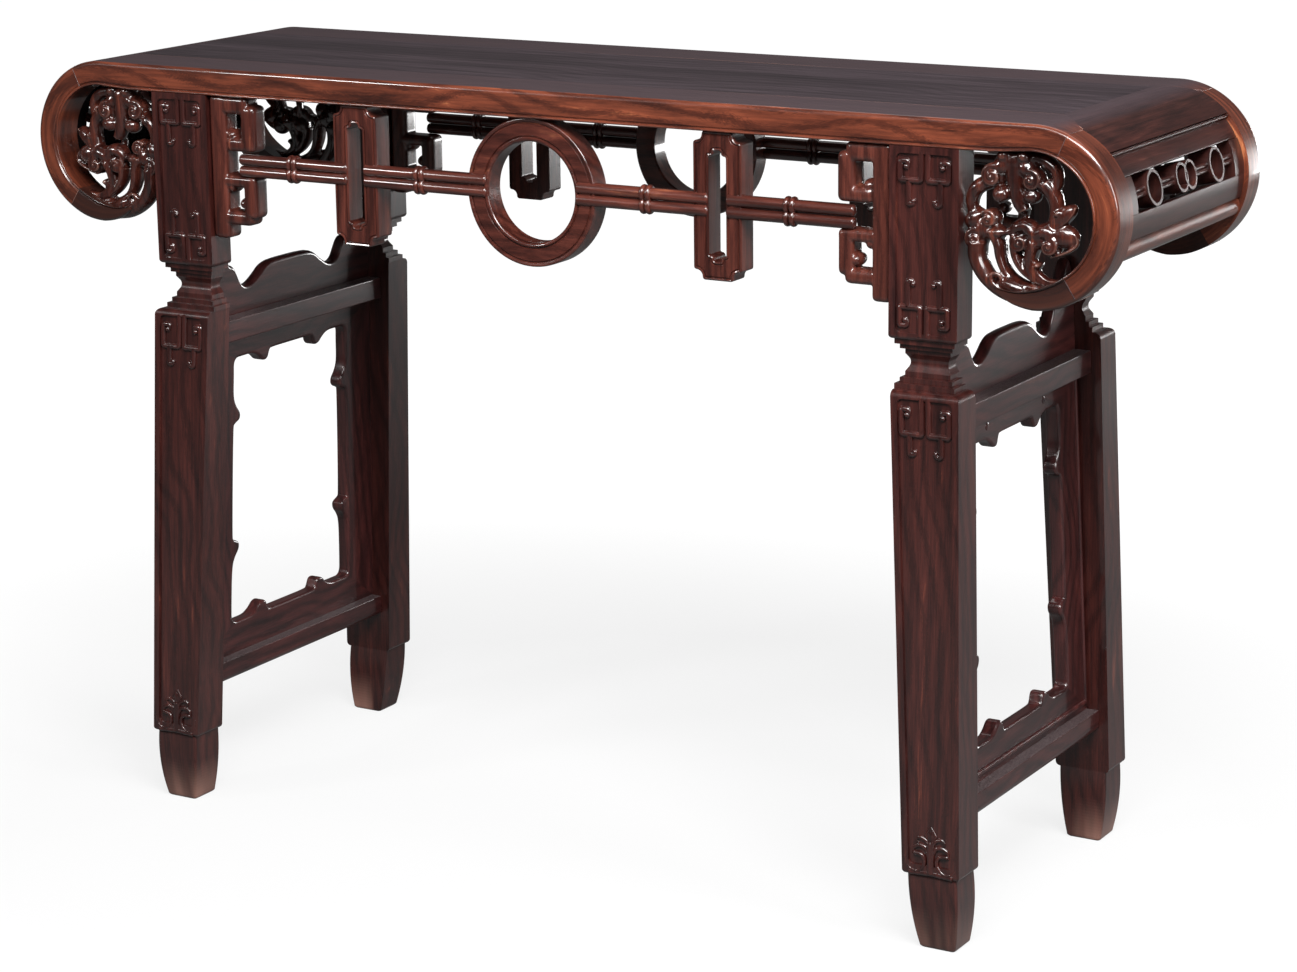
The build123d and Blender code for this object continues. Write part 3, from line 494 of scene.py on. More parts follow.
def lay_grain(mesh, along):
    """Write the grain attribute: along, across and through the board, in metres."""
    shift = grain_step * piece_count
    grain = mesh.attributes.new("grain", "FLOAT_VECTOR", "POINT")
    for vertex, mark in zip(mesh.vertices, grain.data):
        if callable(along):
            mark.vector = along(vertex.co) + shift
        else:
            mark.vector = Vector([vertex.co[axis] for axis in grain_axes[along]]) + shift


def finish_piece(name, shape, along, slot, *nodes):
    """Turn a bmesh into a piece that rides on the table and stands for its nodes."""
    global piece_count
    piece_count += 1
    mesh = bpy.data.meshes.new(name)
    for face in shape.faces:
        face.smooth = True
    for edge in shape.edges:
        edge.smooth = edge.calc_face_angle(0) < crisp_turn
    shape.to_mesh(mesh)
    shape.free()
    lay_grain(mesh, along)
    piece = in_scene(name, mesh)
    even = piece.modifiers.new("even_shading", "WEIGHTED_NORMAL")
    even.keep_sharp = True
    mesh.materials.append(finishes[slot])
    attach(piece, "root")
    if nodes:
        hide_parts(*nodes)
    return piece


def finish_sides(name, shape, along, slot):
    """Finish a piece of the right side, and its mirror image on the left."""
    for side, copy in (("right", shape), ("left", mirrored(shape, 0))):
        finish_piece(f"{side}_{name}_soft", copy, along, slot, f"{side}_{name}")


def copy_node(name):
    """A merged copy of a frame piece, its flat faces whole again."""
    shape = bmesh.new()
    shape.from_mesh(frame["nodes"][name].data)
    bmesh.ops.remove_doubles(shape, verts=shape.verts, dist=merge_reach)
    bmesh.ops.dissolve_limit(
        shape, angle_limit=flat_turn, verts=shape.verts, edges=shape.edges,
        use_dissolve_boundaries=False,
    )
    return shape


def sharp_edges(shape):
    """The edges where two faces meet at a real corner."""
    return [
        edge for edge in shape.edges
        if len(edge.link_faces) == 2 and edge.calc_face_angle(0) > sharp_turn
    ]


def bevelled(shape, edges, width, segments):
    """Round some edges, and give back the faces of the rounds."""
    return bmesh.ops.bevel(
        shape, geom=edges, offset=width * MM, offset_type="OFFSET", segments=segments,
        profile=0.5, affect="EDGES", clamp_overlap=True, material=-1,
    )["faces"]


def face_mark(shape, name):
    """A number that each face carries, under a name that the recipe reads."""
    return shape.faces.layers.float.get(name) or shape.faces.layers.float.new(name)


def round_edges(shape, edges, width, segments=2):
    """Round some edges, and mark the rounds for the wear that bares their wood."""
    rounds = bevelled(shape, edges, width, segments)
    arris = face_mark(shape, "arris")
    for face in rounds:
        if face.is_valid:
            face[arris] = 1.0


def settle(shape):
    """Mark the faces that lie flat, where a film of dust or old polish gathers."""
    film = face_mark(shape, "film")
    for face in shape.faces:
        face[film] = float(face.normal.z > ledge_normal)


def outward(shape):
    """Merge a shape's doubles and turn its faces outwards."""
    bmesh.ops.remove_doubles(shape, verts=shape.verts, dist=merge_reach)
    bmesh.ops.recalc_face_normals(shape, faces=shape.faces)
    if shape.calc_volume(signed=True) < 0:
        bmesh.ops.reverse_faces(shape, faces=shape.faces)


def everything(shape):
    """All the vertices, edges and faces of a shape."""
    return shape.verts[:] + shape.edges[:] + shape.faces[:]


def saw(shape, point, normal, closed_from=-inf):
    """Saw off what lies past a plane and close the cut; ends left of closed_from stay open."""
    bmesh.ops.bisect_plane(
        shape, geom=everything(shape), plane_co=point, plane_no=normal, clear_outer=True
    )
    bmesh.ops.holes_fill(shape, edges=[
        edge for edge in shape.edges
        if edge.is_boundary and min(corner.co.x for corner in edge.verts) > closed_from
    ])


def join(shape, other):
    """Move the whole of another shape into this one."""
    mesh = bpy.data.meshes.new("joined")
    other.to_mesh(mesh)
    other.free()
    shape.from_mesh(mesh)
    bpy.data.meshes.remove(mesh)


def place(x, y, z):
    """A point given in millimetres, in the frame's metres."""
    return Vector((x, y, z)) * MM


def ball(shape, centre, half_sizes, segments, turn=Matrix.Identity(4)):
    """A stretched ball about a point; its half sizes are in millimetres."""
    stretch = Matrix.Diagonal((*(half * MM for half in half_sizes), 1))
    bmesh.ops.create_uvsphere(
        shape, u_segments=segments[0], v_segments=segments[1], radius=1.0,
        matrix=Matrix.Translation(centre) @ turn @ stretch,
    )


cornered_sides = 3
smooth_sides = 4
smooth_steps = 8


def tube(shape, points, radii, smooth=False, pose=Matrix.Identity(4)):
    """A capped round tube through points in the frame's metres, cornered or smooth."""
    curve = bpy.data.curves.new("path", "CURVE")
    curve.dimensions = "3D"
    curve.bevel_depth = MM
    curve.bevel_resolution = smooth_sides if smooth else cornered_sides
    curve.resolution_u = smooth_steps
    curve.use_fill_caps = True
    line = curve.splines.new("BEZIER" if smooth else "POLY")
    knots = line.bezier_points if smooth else line.points
    knots.add(len(points) - 1)
    for knot, point, radius in zip(knots, points, radii):
        knot.co = point if smooth else (*point, 1)
        knot.radius = radius
        if smooth:
            knot.handle_left_type = knot.handle_right_type = "AUTO"
    holder = bpy.data.objects.new("path", curve)
    mesh = bpy.data.meshes.new_from_object(holder)
    mesh.transform(pose)
    shape.from_mesh(mesh)
    bpy.data.objects.remove(holder)
    bpy.data.curves.remove(curve)
    bpy.data.meshes.remove(mesh)


def mirrored(shape, axis):
    """A copy of a shape on the other side of the table."""
    other = shape.copy()
    flip = Vector((1, 1, 1))
    flip[axis] = -1
    bmesh.ops.scale(other, vec=flip, verts=other.verts)
    bmesh.ops.recalc_face_normals(other, faces=other.faces)
    return other


def four_corners(shape):
    """The front right shape and its mirror images, each with its corner's name."""
    across = mirrored(shape, 0)
    yield "back_right", mirrored(shape, 1)
    yield "back_left", mirrored(across, 1)
    yield "front_left", across
    yield "front_right", shape

# %% [markdown]
# ## The top's frame
#
# Each long rail is one piece whose ends already bend into the scroll. On the real table
# its edge carries a small moulding: a rounded arris above, and a thin bead with a fine
# groove along the lower edge. The same section runs on round the scrolls, so one drawn
# section is pulled straight and then swung about the scroll's centre. A bevel alone
# would not give the groove, and a curve with a bevel profile twists where it turns.

# %% Sizes that the frame's own pieces give
rail_low, rail_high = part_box("front_rail")
_, scroll_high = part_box("front_right_scroll")
table_height = rail_high[2] / MM
front_y = rail_low[1] / MM
rail_back_y = rail_high[1] / MM
scroll_back_y = -152.0
scroll_radius = 90.0
scroll_thickness = 26.0
rail_thickness = 29.0
thinning_length = 42.0
block_reach = 74.5
centre_x = scroll_high[0] / MM - scroll_radius
centre_z = table_height - scroll_radius
block_outer_x = centre_x - block_reach
upper_joint = 66.0
lower_joint = -57.0
print("scroll centre", round(centre_x, 2), round(centre_z, 2))
print("rail from", round(front_y, 1), "to", round(rail_back_y, 1))


# %% A moulded section, pulled and swung
def arc(centre_a, centre_b, radius, start, end, steps):
    """Points on an arc of a section, from one angle to another."""
    turns = [radians(start + (end - start) * step / steps) for step in range(steps + 1)]
    return [(centre_a + radius * cos(turn), centre_b + radius * sin(turn)) for turn in turns]


arris_radius = 4.8
bead_radius = 1.25
groove_depth = 1.5
groove_lip = 2.4
groove_high = 0.9
groove_low = 0.4
face_set_back = 0.5


def frame_section(back, thickness):
    """The rail's section: its depth, front to back, and its height above the lower edge."""
    face = front_y + face_set_back
    bead_top = 2 * bead_radius
    return [
        (back, 0.0),
        (back, thickness),
        *arc(face + arris_radius, thickness - arris_radius, arris_radius, 90, 180, 4),
        (face, bead_top + groove_lip),
        (face + groove_depth, bead_top + groove_high),
        (face + groove_depth, bead_top + groove_low),
        *arc(front_y + bead_radius, bead_radius, bead_radius, 120, 250, 4),
    ]


def draw_loop(shape, points):
    """A closed loop of edges through a section's points."""
    corners = [shape.verts.new(point) for point in points]
    return [shape.edges.new(pair) for pair in zip(corners, corners[1:] + corners[:1])]


def numbered_loop(shape, points):
    """A closed loop whose corners keep their numbers when it is pulled."""
    order = shape.verts.layers.int.get("order") or shape.verts.layers.int.new("order")
    loop = draw_loop(shape, points)
    for number, edge in enumerate(loop):
        edge.verts[0][order] = number
    return loop, order


def pull_to(shape, loop, order, points):
    """Pull a numbered loop onto new points."""
    loop = pull(shape, loop)
    for corner in loop_corners(loop):
        corner.co = points[corner[order]]
    return loop


def loop_corners(loop):
    """The vertices of a loop of edges."""
    return list({corner for edge in loop for corner in edge.verts})


def pull(shape, loop):
    """Extrude a loop of edges and give back the new loop, still in the same place."""
    made = bmesh.ops.extrude_edge_only(shape, edges=loop)["geom"]
    fresh = {item for item in made if isinstance(item, bmesh.types.BMVert)}
    near = {edge for corner in fresh for edge in corner.link_edges}
    return [edge for edge in near if set(edge.verts) <= fresh]


def turned(shape, loop, angle):
    """Turn a loop about the scroll's axis; clockwise from the front is positive."""
    bmesh.ops.rotate(
        shape, verts=loop_corners(loop), cent=place(centre_x, 0, centre_z),
        matrix=Matrix.Rotation(radians(angle), 3, "Y"),
    )


def swing(shape, loop, angle, step_angle=3.0):
    """Sweep a loop round the scroll's axis in short steps."""
    steps = max(1, round(abs(angle) / step_angle))
    for _ in range(steps):
        loop = pull(shape, loop)
        turned(shape, loop, angle / steps)
    return loop


def cap(shape, loop):
    """Close the end of a sweep with one face."""
    bmesh.ops.contextual_create(shape, geom=loop)


# %% The long rails
def long_rail():
    """Half of the front rail, mirrored to make the whole, its ends mitred."""
    shape = bmesh.new()
    bottom = table_height - rail_thickness
    points = [place(0, y, bottom + z) for y, z in frame_section(rail_back_y, rail_thickness)]
    loop = draw_loop(shape, points)
    for run in (centre_x - thinning_length, thinning_length):
        loop = pull(shape, loop)
        bmesh.ops.translate(shape, verts=loop_corners(loop), vec=place(run, 0, 0))
    thinner = scroll_thickness / rail_thickness
    bmesh.ops.scale(
        shape, vec=Vector((1, 1, thinner)), verts=loop_corners(loop),
        space=Matrix.Translation(-place(0, 0, table_height)),
    )
    loop = swing(shape, loop, 90 - upper_joint)
    cap(shape, loop)
    mitre_start = place(centre_x, rail_back_y, 0)
    mitre_end = place(centre_x + scroll_radius * cos(radians(upper_joint)), scroll_back_y, 0)
    run = mitre_end - mitre_start
    saw(shape, mitre_start, Vector((-run.y, run.x, 0)), closed_from=MM)
    bmesh.ops.mirror(shape, geom=everything(shape), axis="X", merge_dist=merge_reach)
    outward(shape)
    settle(shape)
    return shape


rail = long_rail()
for name, shape in (("back_rail", mirrored(rail, 1)), ("front_rail", rail)):
    finish_piece(name + "_moulded", shape, "X", slots[name], name)
print("rail from", round(rail_low[0], 4), "to", round(rail_high[0], 4), "along the table")


# %% The scrolls
# Painted shade round the lower scroll: where it starts and ends, in degrees, and how dark it gets.
shade_start = 0.0
shade_end = -60.0
shade_most = 0.3


def shade_scroll(shape, most):
    """Paint shade round the scroll: the further a face turns under, below its outer side, the darker it
    is painted.
    """
    painted_shade = face_mark(shape, "painted_shade")
    for face in shape.faces:
        away = face.calc_center_median() - place(centre_x, 0, centre_z)
        angle = degrees(atan2(away.z, away.x))
        share = min(1.0, max(0.0, (shade_start - angle) / (shade_start - shade_end)))
        face[painted_shade] = most * share


def scroll_grain(point):
    """Grain that runs down a scroll: by height, by reach from its middle, and by depth."""
    offset = point / MM - Vector((centre_x if point.x > 0 else -centre_x, 0, centre_z))
    return Vector((offset.z * MM, (offset.length - scroll_radius) * MM, point.y))


def scroll_start(shape, angle):
    """The moulded section of the scroll's rim, closed by a face at a joint's angle."""
    inner = centre_z + scroll_radius - scroll_thickness
    section = frame_section(scroll_back_y, scroll_thickness)
    loop = draw_loop(shape, [place(centre_x, y, inner + rise) for y, rise in section])
    turned(shape, loop, 90 - angle)
    cap(shape, loop)
    return loop


def scroll():
    """The scroll between its two joints, moulded along its front edge."""
    shape = bmesh.new()
    loop = scroll_start(shape, upper_joint)
    loop = swing(shape, loop, upper_joint - lower_joint)
    cap(shape, loop)
    outward(shape)
    settle(shape)
    shade_scroll(shape, shade_most)
    return shape


for corner, shape in four_corners(scroll()):
    finish_piece(corner + "_scroll_moulded", shape, scroll_grain, "frame_rosewood", corner + "_scroll")
print("scrolls swing from", upper_joint, "to", lower_joint, "degrees")


# %% The wax in the joints
wax_pale = 1.6
wax_radius = 0.5
wax_sunk = 0.45
wax_shift = 0.3
mitre_drop = 6.3
edge_wax_radius = 0.35
edge_wax_proud = 0.15
edge_wax_reach = (scroll_radius - scroll_thickness + 3, scroll_radius - 0.1)
edge_wax_bend = 0.85


def wax_line(shape, radius, *points):
    """A fine line of old wax through points in millimetres."""
    tube(shape, [place(*point) for point in points], [radius] * len(points))


def joint_lines():
    """The lines of old wax between panel, rails, mitres and scrolls."""
    shape = bmesh.new()
    z = table_height - wax_sunk
    mitre_x = centre_x + scroll_radius * cos(radians(upper_joint))
    for side in (-1, 1):
        y = side * (rail_back_y + wax_shift)
        wax_line(shape, wax_radius, (-centre_x, y, z), (centre_x, y, z))
        for end in (-1, 1):
            wax_line(
                shape, wax_radius, (end * centre_x, side * rail_back_y, z),
                (end * mitre_x, side * scroll_back_y, z - mitre_drop),
            )
    front = front_y + face_set_back - edge_wax_proud
    for angle in (upper_joint, lower_joint):
        (start_x, start_z), (end_x, end_z) = [
            (centre_x + reach * cos(radians(angle)), centre_z + reach * sin(radians(angle)))
            for reach in edge_wax_reach
        ]
        bend_x = start_x + edge_wax_bend * (end_x - start_x)
        bend_z = start_z + edge_wax_bend * (end_z - start_z)
        for hand in (-1, 1):
            for side in (-1, 1):
                wax_line(
                    shape, edge_wax_radius,
                    (hand * start_x, side * front, start_z),
                    (hand * bend_x, side * front, bend_z),
                    (hand * end_x, side * (front + arris_radius), end_z),
                    (hand * end_x, side * scroll_back_y, end_z),
                )
    arris = face_mark(shape, "arris")
    for face in shape.faces:
        face[arris] = wax_pale
    return shape


finish_piece("panel_joint_lines", joint_lines(), "X", "top_board")
print("the joints are waxed")

# %% [markdown]
# ## The cloud fungus
#
# Inside each scroll the rim ends in openwork: lingzhi, the fungus of long life, with
# three cloud-shaped heads whose edges roll into spirals, on stems that sweep down and
# melt into the rim. A carver saws out the ground, rounds every head to a dome and then
# cuts the spirals. Sculpting that by hand in a script is hopeless, but the carver's
# order works: domes, rolled edges and stems are laid over each other, and a voxel
# remesh fuses them into one skin with soft creases. Places are given in millimetres
# from the scroll's centre: to the right, up, and back from the carving's front.

# %% Domes and stems
carving_front = front_y + 3.0
carving_depth = 27.0
dome_segments = (28, 16)


def carving_place(across, above, back=0.0):
    """A point of the right front carving, in the frame's metres."""
    return place(centre_x + across, carving_front + back, centre_z + above)


def dome(shape, across, above, length, width, tilt=0.0, back=0.0, depth=carving_depth):
    """An egg-shaped lump that reaches from the carving's front to its back."""
    deep = depth / 2
    centre = carving_place(across, above, back + deep)
    lean = Matrix.Rotation(radians(-tilt), 4, "Y")
    ball(shape, centre, (length, deep, width), dome_segments, lean)


def stem(shape, points, radii, flat=1.0, back=0.0):
    """A smooth tapering tube; flat is how much deeper than wide its section is."""
    path = []
    for across, above, *deep in points:
        path.append(place(across, sum(deep) / flat, above))
    origin = carving_place(0, 0, back + max(radii) * flat)
    pose = Matrix.Translation(origin) @ Matrix.Diagonal((1, flat, 1, 1))
    tube(shape, path, radii, smooth=True, pose=pose)


volute_knots = 15
volute_turns = 1.55
spiral_start, spiral_draw, spiral_bend = 0.79, 0.7, 0.8
ridge_sunk, ridge_rise = 1.2, 3.4
ridge_width, ridge_taper = 0.235, 0.115
volute_body = 0.92
volute_sunk = 5.0
eye_share = 0.15
eye_proud = 0.8
eye_depth = 14.0


def volute(shape, across, above, radius, start, hand):
    """A rolled edge: a ridge that winds in one and a half turns to its eye."""
    body = radius * volute_body
    eye = radius * eye_share
    dome(shape, across, above, body, body, back=volute_sunk, depth=carving_depth - volute_sunk)
    points = []
    radii = []
    for knot in range(volute_knots):
        share = knot / (volute_knots - 1)
        angle = radians(start + hand * 360 * volute_turns * share)
        reach = radius * (spiral_start - spiral_draw * share ** spiral_bend)
        sunk = ridge_sunk - ridge_rise * share
        points.append((across + reach * cos(angle), above + reach * sin(angle), sunk))
        radii.append(radius * (ridge_width - ridge_taper * share))
    stem(shape, points, radii, back=eye_proud)
    dome(shape, across, above, eye, eye, back=-eye_proud, depth=eye_depth)


carving_voxel = 1.15
smooth_passes = 2


def fused(shape, voxel):
    """One skin over overlapping lumps, by voxels, smoothed a little."""
    mesh = bpy.data.meshes.new("rough")
    shape.to_mesh(mesh)
    shape.free()
    rough = in_scene("rough", mesh)
    skin = rough.modifiers.new("fuse", "REMESH")
    skin.mode = "VOXEL"
    skin.voxel_size = voxel * MM
    graph = bpy.context.evaluated_depsgraph_get()
    whole = bpy.data.meshes.new_from_object(rough.evaluated_get(graph))
    bpy.data.objects.remove(rough)
    fresh = bmesh.new()
    fresh.from_mesh(whole)
    for _ in range(smooth_passes):
        bmesh.ops.smooth_vert(
            fresh, verts=fresh.verts, factor=0.5, use_axis_x=True, use_axis_y=True, use_axis_z=True
        )
    return fresh


# %% The three heads and their stems
def middle_head(shape):
    """The tall middle head: a crown of two lobes, two rolled ears and two knobs."""
    volute(shape, -43.3, 36.6, 14.0, 60, 1)
    volute(shape, -3.1, 34.7, 13.0, 120, -1)
    dome(shape, -31.7, 57.0, 9.5, 8.0, tilt=25)
    dome(shape, -11.7, 57.0, 9.0, 7.5, tilt=-25)
    dome(shape, -22.0, 52.0, 14.0, 12.0, back=1.2)
    dome(shape, -34.5, 47.0, 12.0, 10.5, tilt=30, back=1.8)
    dome(shape, -10.0, 46.0, 11.5, 10.0, tilt=-30, back=1.8)
    dome(shape, -35.6, 19.3, 9.0, 8.6, back=0.5, depth=23)
    dome(shape, -3.6, 19.6, 9.4, 8.2, back=0.5, depth=23)
    stem(shape, [(-22, 52), (-21, 32), (-18, 14), (-12.5, 4)], [10, 9, 7.5, 6.2], flat=1.25, back=1.0)
    stem(shape, [(-13, 6, 8), (-15, -4, 9), (-12, -14, 6)], [4, 3.4, 4], flat=1.5, back=6)


def left_head(shape):
    """The low left head, with its neck to the middle stem."""
    volute(shape, -46.4, -5.0, 10.8, 150, -1)
    volute(shape, -61.5, -25.6, 12.6, 60, 1)
    dome(shape, -63.5, -6.5, 12.0, 9.5, tilt=50, back=0.5)
    dome(shape, -53.5, -14.5, 13.5, 11.5, tilt=-45, back=1.6)
    dome(shape, -37.3, -17.4, 8.0, 6.4, depth=22, back=0.5)
    stem(shape, [(-37, -17.4), (-29, -16.5), (-20, -14)], [5, 3.6, 4.5], flat=1.6, back=2)


def right_head(shape):
    """The low right head, between two rolled edges."""
    volute(shape, -14.0, -25.2, 11.4, 130, 1)
    volute(shape, 16.2, -27.2, 12.0, 110, -1)
    stem(
        shape, [(-24, -20), (-17, -11), (-8, -9.5), (1, -16), (11, -13), (20, -17)],
        [5, 7, 7.4, 8, 8, 7], flat=1.5, back=0.2,
    )
    dome(shape, 1.0, -22.0, 14.0, 11.0, back=1.8)


def folds(shape):
    """The leaves and folds behind the heads."""
    dome(shape, 29.5, 2.5, 15.5, 7.6, tilt=42, back=5, depth=18)
    stem(shape, [(19, -9), (30, -4), (38, 4), (41.5, 12)], [1.6, 1.7, 1.5, 1.0], flat=2.0, back=6)
    dome(shape, 24.0, 5.0, 4.6, 4.0, tilt=40, back=3, depth=12)
    dome(shape, 29.0, -17.0, 16.0, 11.5, tilt=-8, back=4, depth=20)
    stem(
        shape, [(16, -38), (28, -34), (38, -29), (44, -23), (41, -13)],
        [1.4, 1.8, 1.8, 1.6, 1.2], flat=2.2, back=6,
    )
    stem(shape, [(8, 32), (16, 23), (20.5, 10), (17, -10)], [8.5, 7.8, 7.2, 6.4], flat=1.4, back=3)
    stem(shape, [(-6, 56), (10, 52), (20, 42), (20, 28)], [6, 6.5, 6, 5], flat=1.3, back=7)
    stem(
        shape, [(-48, 30, 4), (-58, 26), (-65, 17), (-66, 6), (-62, -3)],
        [7, 7.6, 7, 6, 6], flat=1.4, back=2,
    )


def sweeping_stems(shape):
    """The stems that sweep down into the rim, and the knot where they part."""
    stem(
        shape,
        [(-60, -28), (-60, -42), (-53.5, -56.5), (-43, -68), (-29, -77), (-13, -81.5), (4, -84)],
        [9.4, 9.2, 8.6, 7.8, 6.6, 5.4, 4.0], flat=1.5, back=-1.6,
    )
    stem(
        shape,
        [(-45, -16), (-38, -28), (-35.5, -42), (-29, -56), (-16, -65), (2, -69), (20, -68), (36, -61)],
        [6.6, 6, 5.4, 4.8, 4.4, 4.2, 3.8, 2.6], flat=2.0, back=0.4,
    )
    stem(
        shape, [(-21, -28), (-18.5, -40), (-13, -50), (-4, -58), (8, -64)],
        [5.4, 5.0, 4.4, 3.8, 3.4], flat=2.1, back=1.0,
    )
    stem(
        shape, [(1, -24), (-4.5, -38), (-4, -50), (5, -60), (19, -65), (33, -60)],
        [7.5, 6.6, 5.6, 4.8, 4.2, 3.4], flat=1.8, back=0.0,
    )
    stem(shape, [(4, -46), (3, -51), (8, -57), (18, -61), (30, -59)], [3, 2.4, 2, 2, 2], flat=3, back=3)
    dome(shape, 4.5, -46.0, 3.8, 3.4, depth=20, back=1.5)


def end_lobe(shape):
    """The grooved lobe that ends the rim."""
    dome(shape, -21.0, -68.5, 19.5, 8.6, tilt=-21, back=-1.6, depth=26)
    stem(
        shape, [(-6, -79), (-20, -77.5), (-35, -70), (-42, -60), (-37, -56.5), (-31, -61), (-33, -66)],
        [1.6, 1.9, 2.3, 2.5, 2.2, 1.8, 1.2], back=-0.6,
    )


def fungus():
    """The carving of the right front scroll, fused from its parts and cut off at the leg."""
    shape = bmesh.new()
    for carve in (middle_head, left_head, right_head, folds, sweeping_stems, end_lobe):
        carve(shape)
    shape = fused(shape, carving_voxel)
    saw(shape, place(block_outer_x, 0, 0), Vector((-1, 0, 0)))
    outward(shape)
    return shape


# %% The rim's tapering end
rim_ends = (
    (-57, 64.0, 90.0), (-72, 65.0, 90.0), (-88, 68.5, 89.2), (-102, 73.0, 86.6), (-116, 77.0, 82.0)
)
rim_cuts = 6
rim_shade = 0.78


def part_way(start, end, share):
    """Numbers part of the way from one list to another."""
    return [a + (b - a) * share for a, b in zip(start, end)]


def rim_end():
    """The moulded rim from its lower joint on, drawing in where the stems take over."""
    shape = bmesh.new()
    loop = scroll_start(shape, lower_joint)
    hub = Matrix.Translation(-place(centre_x, 0, centre_z))
    for start, end in zip(rim_ends, rim_ends[1:]):
        for cut in range(rim_cuts):
            _, old_inner, old_outer = part_way(start, end, cut / rim_cuts)
            angle, new_inner, new_outer = part_way(start, end, (cut + 1) / rim_cuts)
            loop = pull(shape, loop)
            turned(shape, loop, (start[0] - end[0]) / rim_cuts)
            grow = (new_outer - new_inner) / (old_outer - old_inner)
            on_loop = {
                "verts": loop_corners(loop), "space": Matrix.Rotation(radians(angle), 4, "Y") @ hub
            }
            bmesh.ops.translate(shape, vec=place(-old_inner, 0, 0), **on_loop)
            bmesh.ops.scale(shape, vec=Vector((grow, 1, 1)), **on_loop)
            bmesh.ops.translate(shape, vec=place(new_inner, 0, 0), **on_loop)
    cap(shape, loop)
    outward(shape)
    # Painted shade on the rim's end, dark nearly all the way as it turns under the scroll.
    shade_scroll(shape, rim_shade)
    return shape


carving = fungus()
print("the fungus has", len(carving.faces), "faces")
for corner, shape in four_corners(carving):
    finish_piece(corner + "_fungus", shape, "Z", "carved_rosewood", corner + "_scroll_tip")
for corner, shape in four_corners(rim_end()):
    finish_piece(corner + "_rim_end", shape, scroll_grain, "frame_rosewood")

# %% [markdown]
# ## The legs
#
# Each leg is one piece of wood: an upright block behind the apron, a stepped neck, a
# splayed shaft and a plain foot. Its front has a sunk field, and in the field stand
# narrow ribs as high as the border: square frets that grow from the border and end in
# little curls, and a palmette above the foot. The body is the frame's leg with its
# edges rounded. The ribs are tubes that lie half in the field, laid along paths with
# rounded corners; extruding flat strips would lose the soft light along them.

# %% The leg's slopes
block_width = 74.0
half_span = block_outer_x - block_width
block_middle = (half_span + block_outer_x) / 2
rail_bottom = table_height - rail_thickness
block_bottom = 620.5
field_depth = 2.5
shaft_top = 570.1
shaft_foot = 79.5
shaft_half = 42.0
shaft_splay = 21.1
shaft_top_middle = half_span + shaft_half
shaft_foot_middle = shaft_top_middle + shaft_splay
shaft_top_front = 193.7
shaft_foot_front = 214.95


def face_matrix(middle, front, middle_drift=0.0, front_drift=0.0):
    """Carry flat work, drawn across and up in metres, onto a sloping sunk field."""
    return Matrix((
        (1, 0, middle_drift, middle * MM),
        (0, 1, -front_drift, (field_depth - front) * MM),
        (0, 0, 1, 0),
        (0, 0, 0, 1),
    ))


shaft_length = shaft_top - shaft_foot
middle_drift = (shaft_top_middle - shaft_foot_middle) / shaft_length
front_drift = (shaft_top_front - shaft_foot_front) / shaft_length
on_block = face_matrix(block_middle, -front_y)
on_shaft = face_matrix(
    shaft_top_middle - middle_drift * shaft_top, shaft_top_front - front_drift * shaft_top,
    middle_drift, front_drift,
)
print("the shaft leans", round(middle_drift, 4), "outwards and", round(front_drift, 4), "forwards")


# %% Ribs with rounded corners
def rounded_path(points, radius, steps=4):
    """A path whose inner corners are rounded, for points across and up the face."""
    path = [Vector(points[0])]
    for before, corner, after in zip(points, points[1:], points[2:]):
        corner = Vector(corner)
        start = corner + (Vector(before) - corner).normalized() * radius
        end = corner + (Vector(after) - corner).normalized() * radius
        for step in range(steps + 1):
            share = step / steps
            path.append(start.lerp(corner, share).lerp(corner.lerp(end, share), share))
    return path + [Vector(points[-1])]


def rib(shape, points, width, corner=2.4, tip=1.0, lift=0.0):
    """A rib in flat work; tip is the share of its width that is left at its end."""
    path = rounded_path(points, corner)
    last = len(path) - 1
    radii = [width / 2 * (1 + (tip - 1) * max(0.0, 2 * step / last - 1)) for step in range(last + 1)]
    tube(shape, [place(point.x, -lift, point.y) for point in path], radii)


pearl_proud = 0.9
pearl_segments = (16, 10)


def pearl(shape, across, z, radius):
    """A little ball at the end of a curl."""
    ball(shape, place(across, -pearl_proud, z), [radius] * 3, pearl_segments)


rib_width = 6.6
rib_tip = 0.7
border_overlap = 2
curl_rise = 0.3
fret_middle = 3.5
fret_edge = 25.8
fret_stem = 17.0
curl = 5.5
edge_curl = ((1.5, 0.0), (1.5, 0.9), (1.2, 1.35))
edge_pearl = (1.15, 1.0)
edge_pearl_radius = 2.8
stem_curl = ((0.9, 0.0), (1.1, -0.5))
stem_pearl = (1.05, -0.55)
stem_pearl_radius = 2.5


def curled(corner, hand, down, steps):
    """Points past a rib's corner; each step is so many curls inwards and onwards."""
    across, z = corner
    return [(across - hand * curl * inwards, z - down * curl * on) for inwards, on in steps]


def fret_pair(shape, border, down, square, tail):
    """Two square curls that hang from a border, or stand on it when down is negative."""
    foot = border - down * square
    top = border - down * (square * curl_rise)
    end = foot - down * tail
    for hand in (-1, 1):
        middle = hand * fret_middle
        edge = hand * fret_edge
        start = (middle, border + down * border_overlap)
        square_path = [start, (middle, foot), (edge, foot), (edge, top)]
        stem_path = [(hand * fret_stem, foot), (hand * fret_stem, end)]
        for path, steps, pearl_step, radius in (
            (square_path, edge_curl, edge_pearl, edge_pearl_radius),
            (stem_path, stem_curl, stem_pearl, stem_pearl_radius),
        ):
            rib(shape, path + curled(path[-1], hand, down, steps), rib_width, tip=rib_tip)
            pearl(shape, *curled(path[-1], hand, down, [pearl_step])[0], radius)


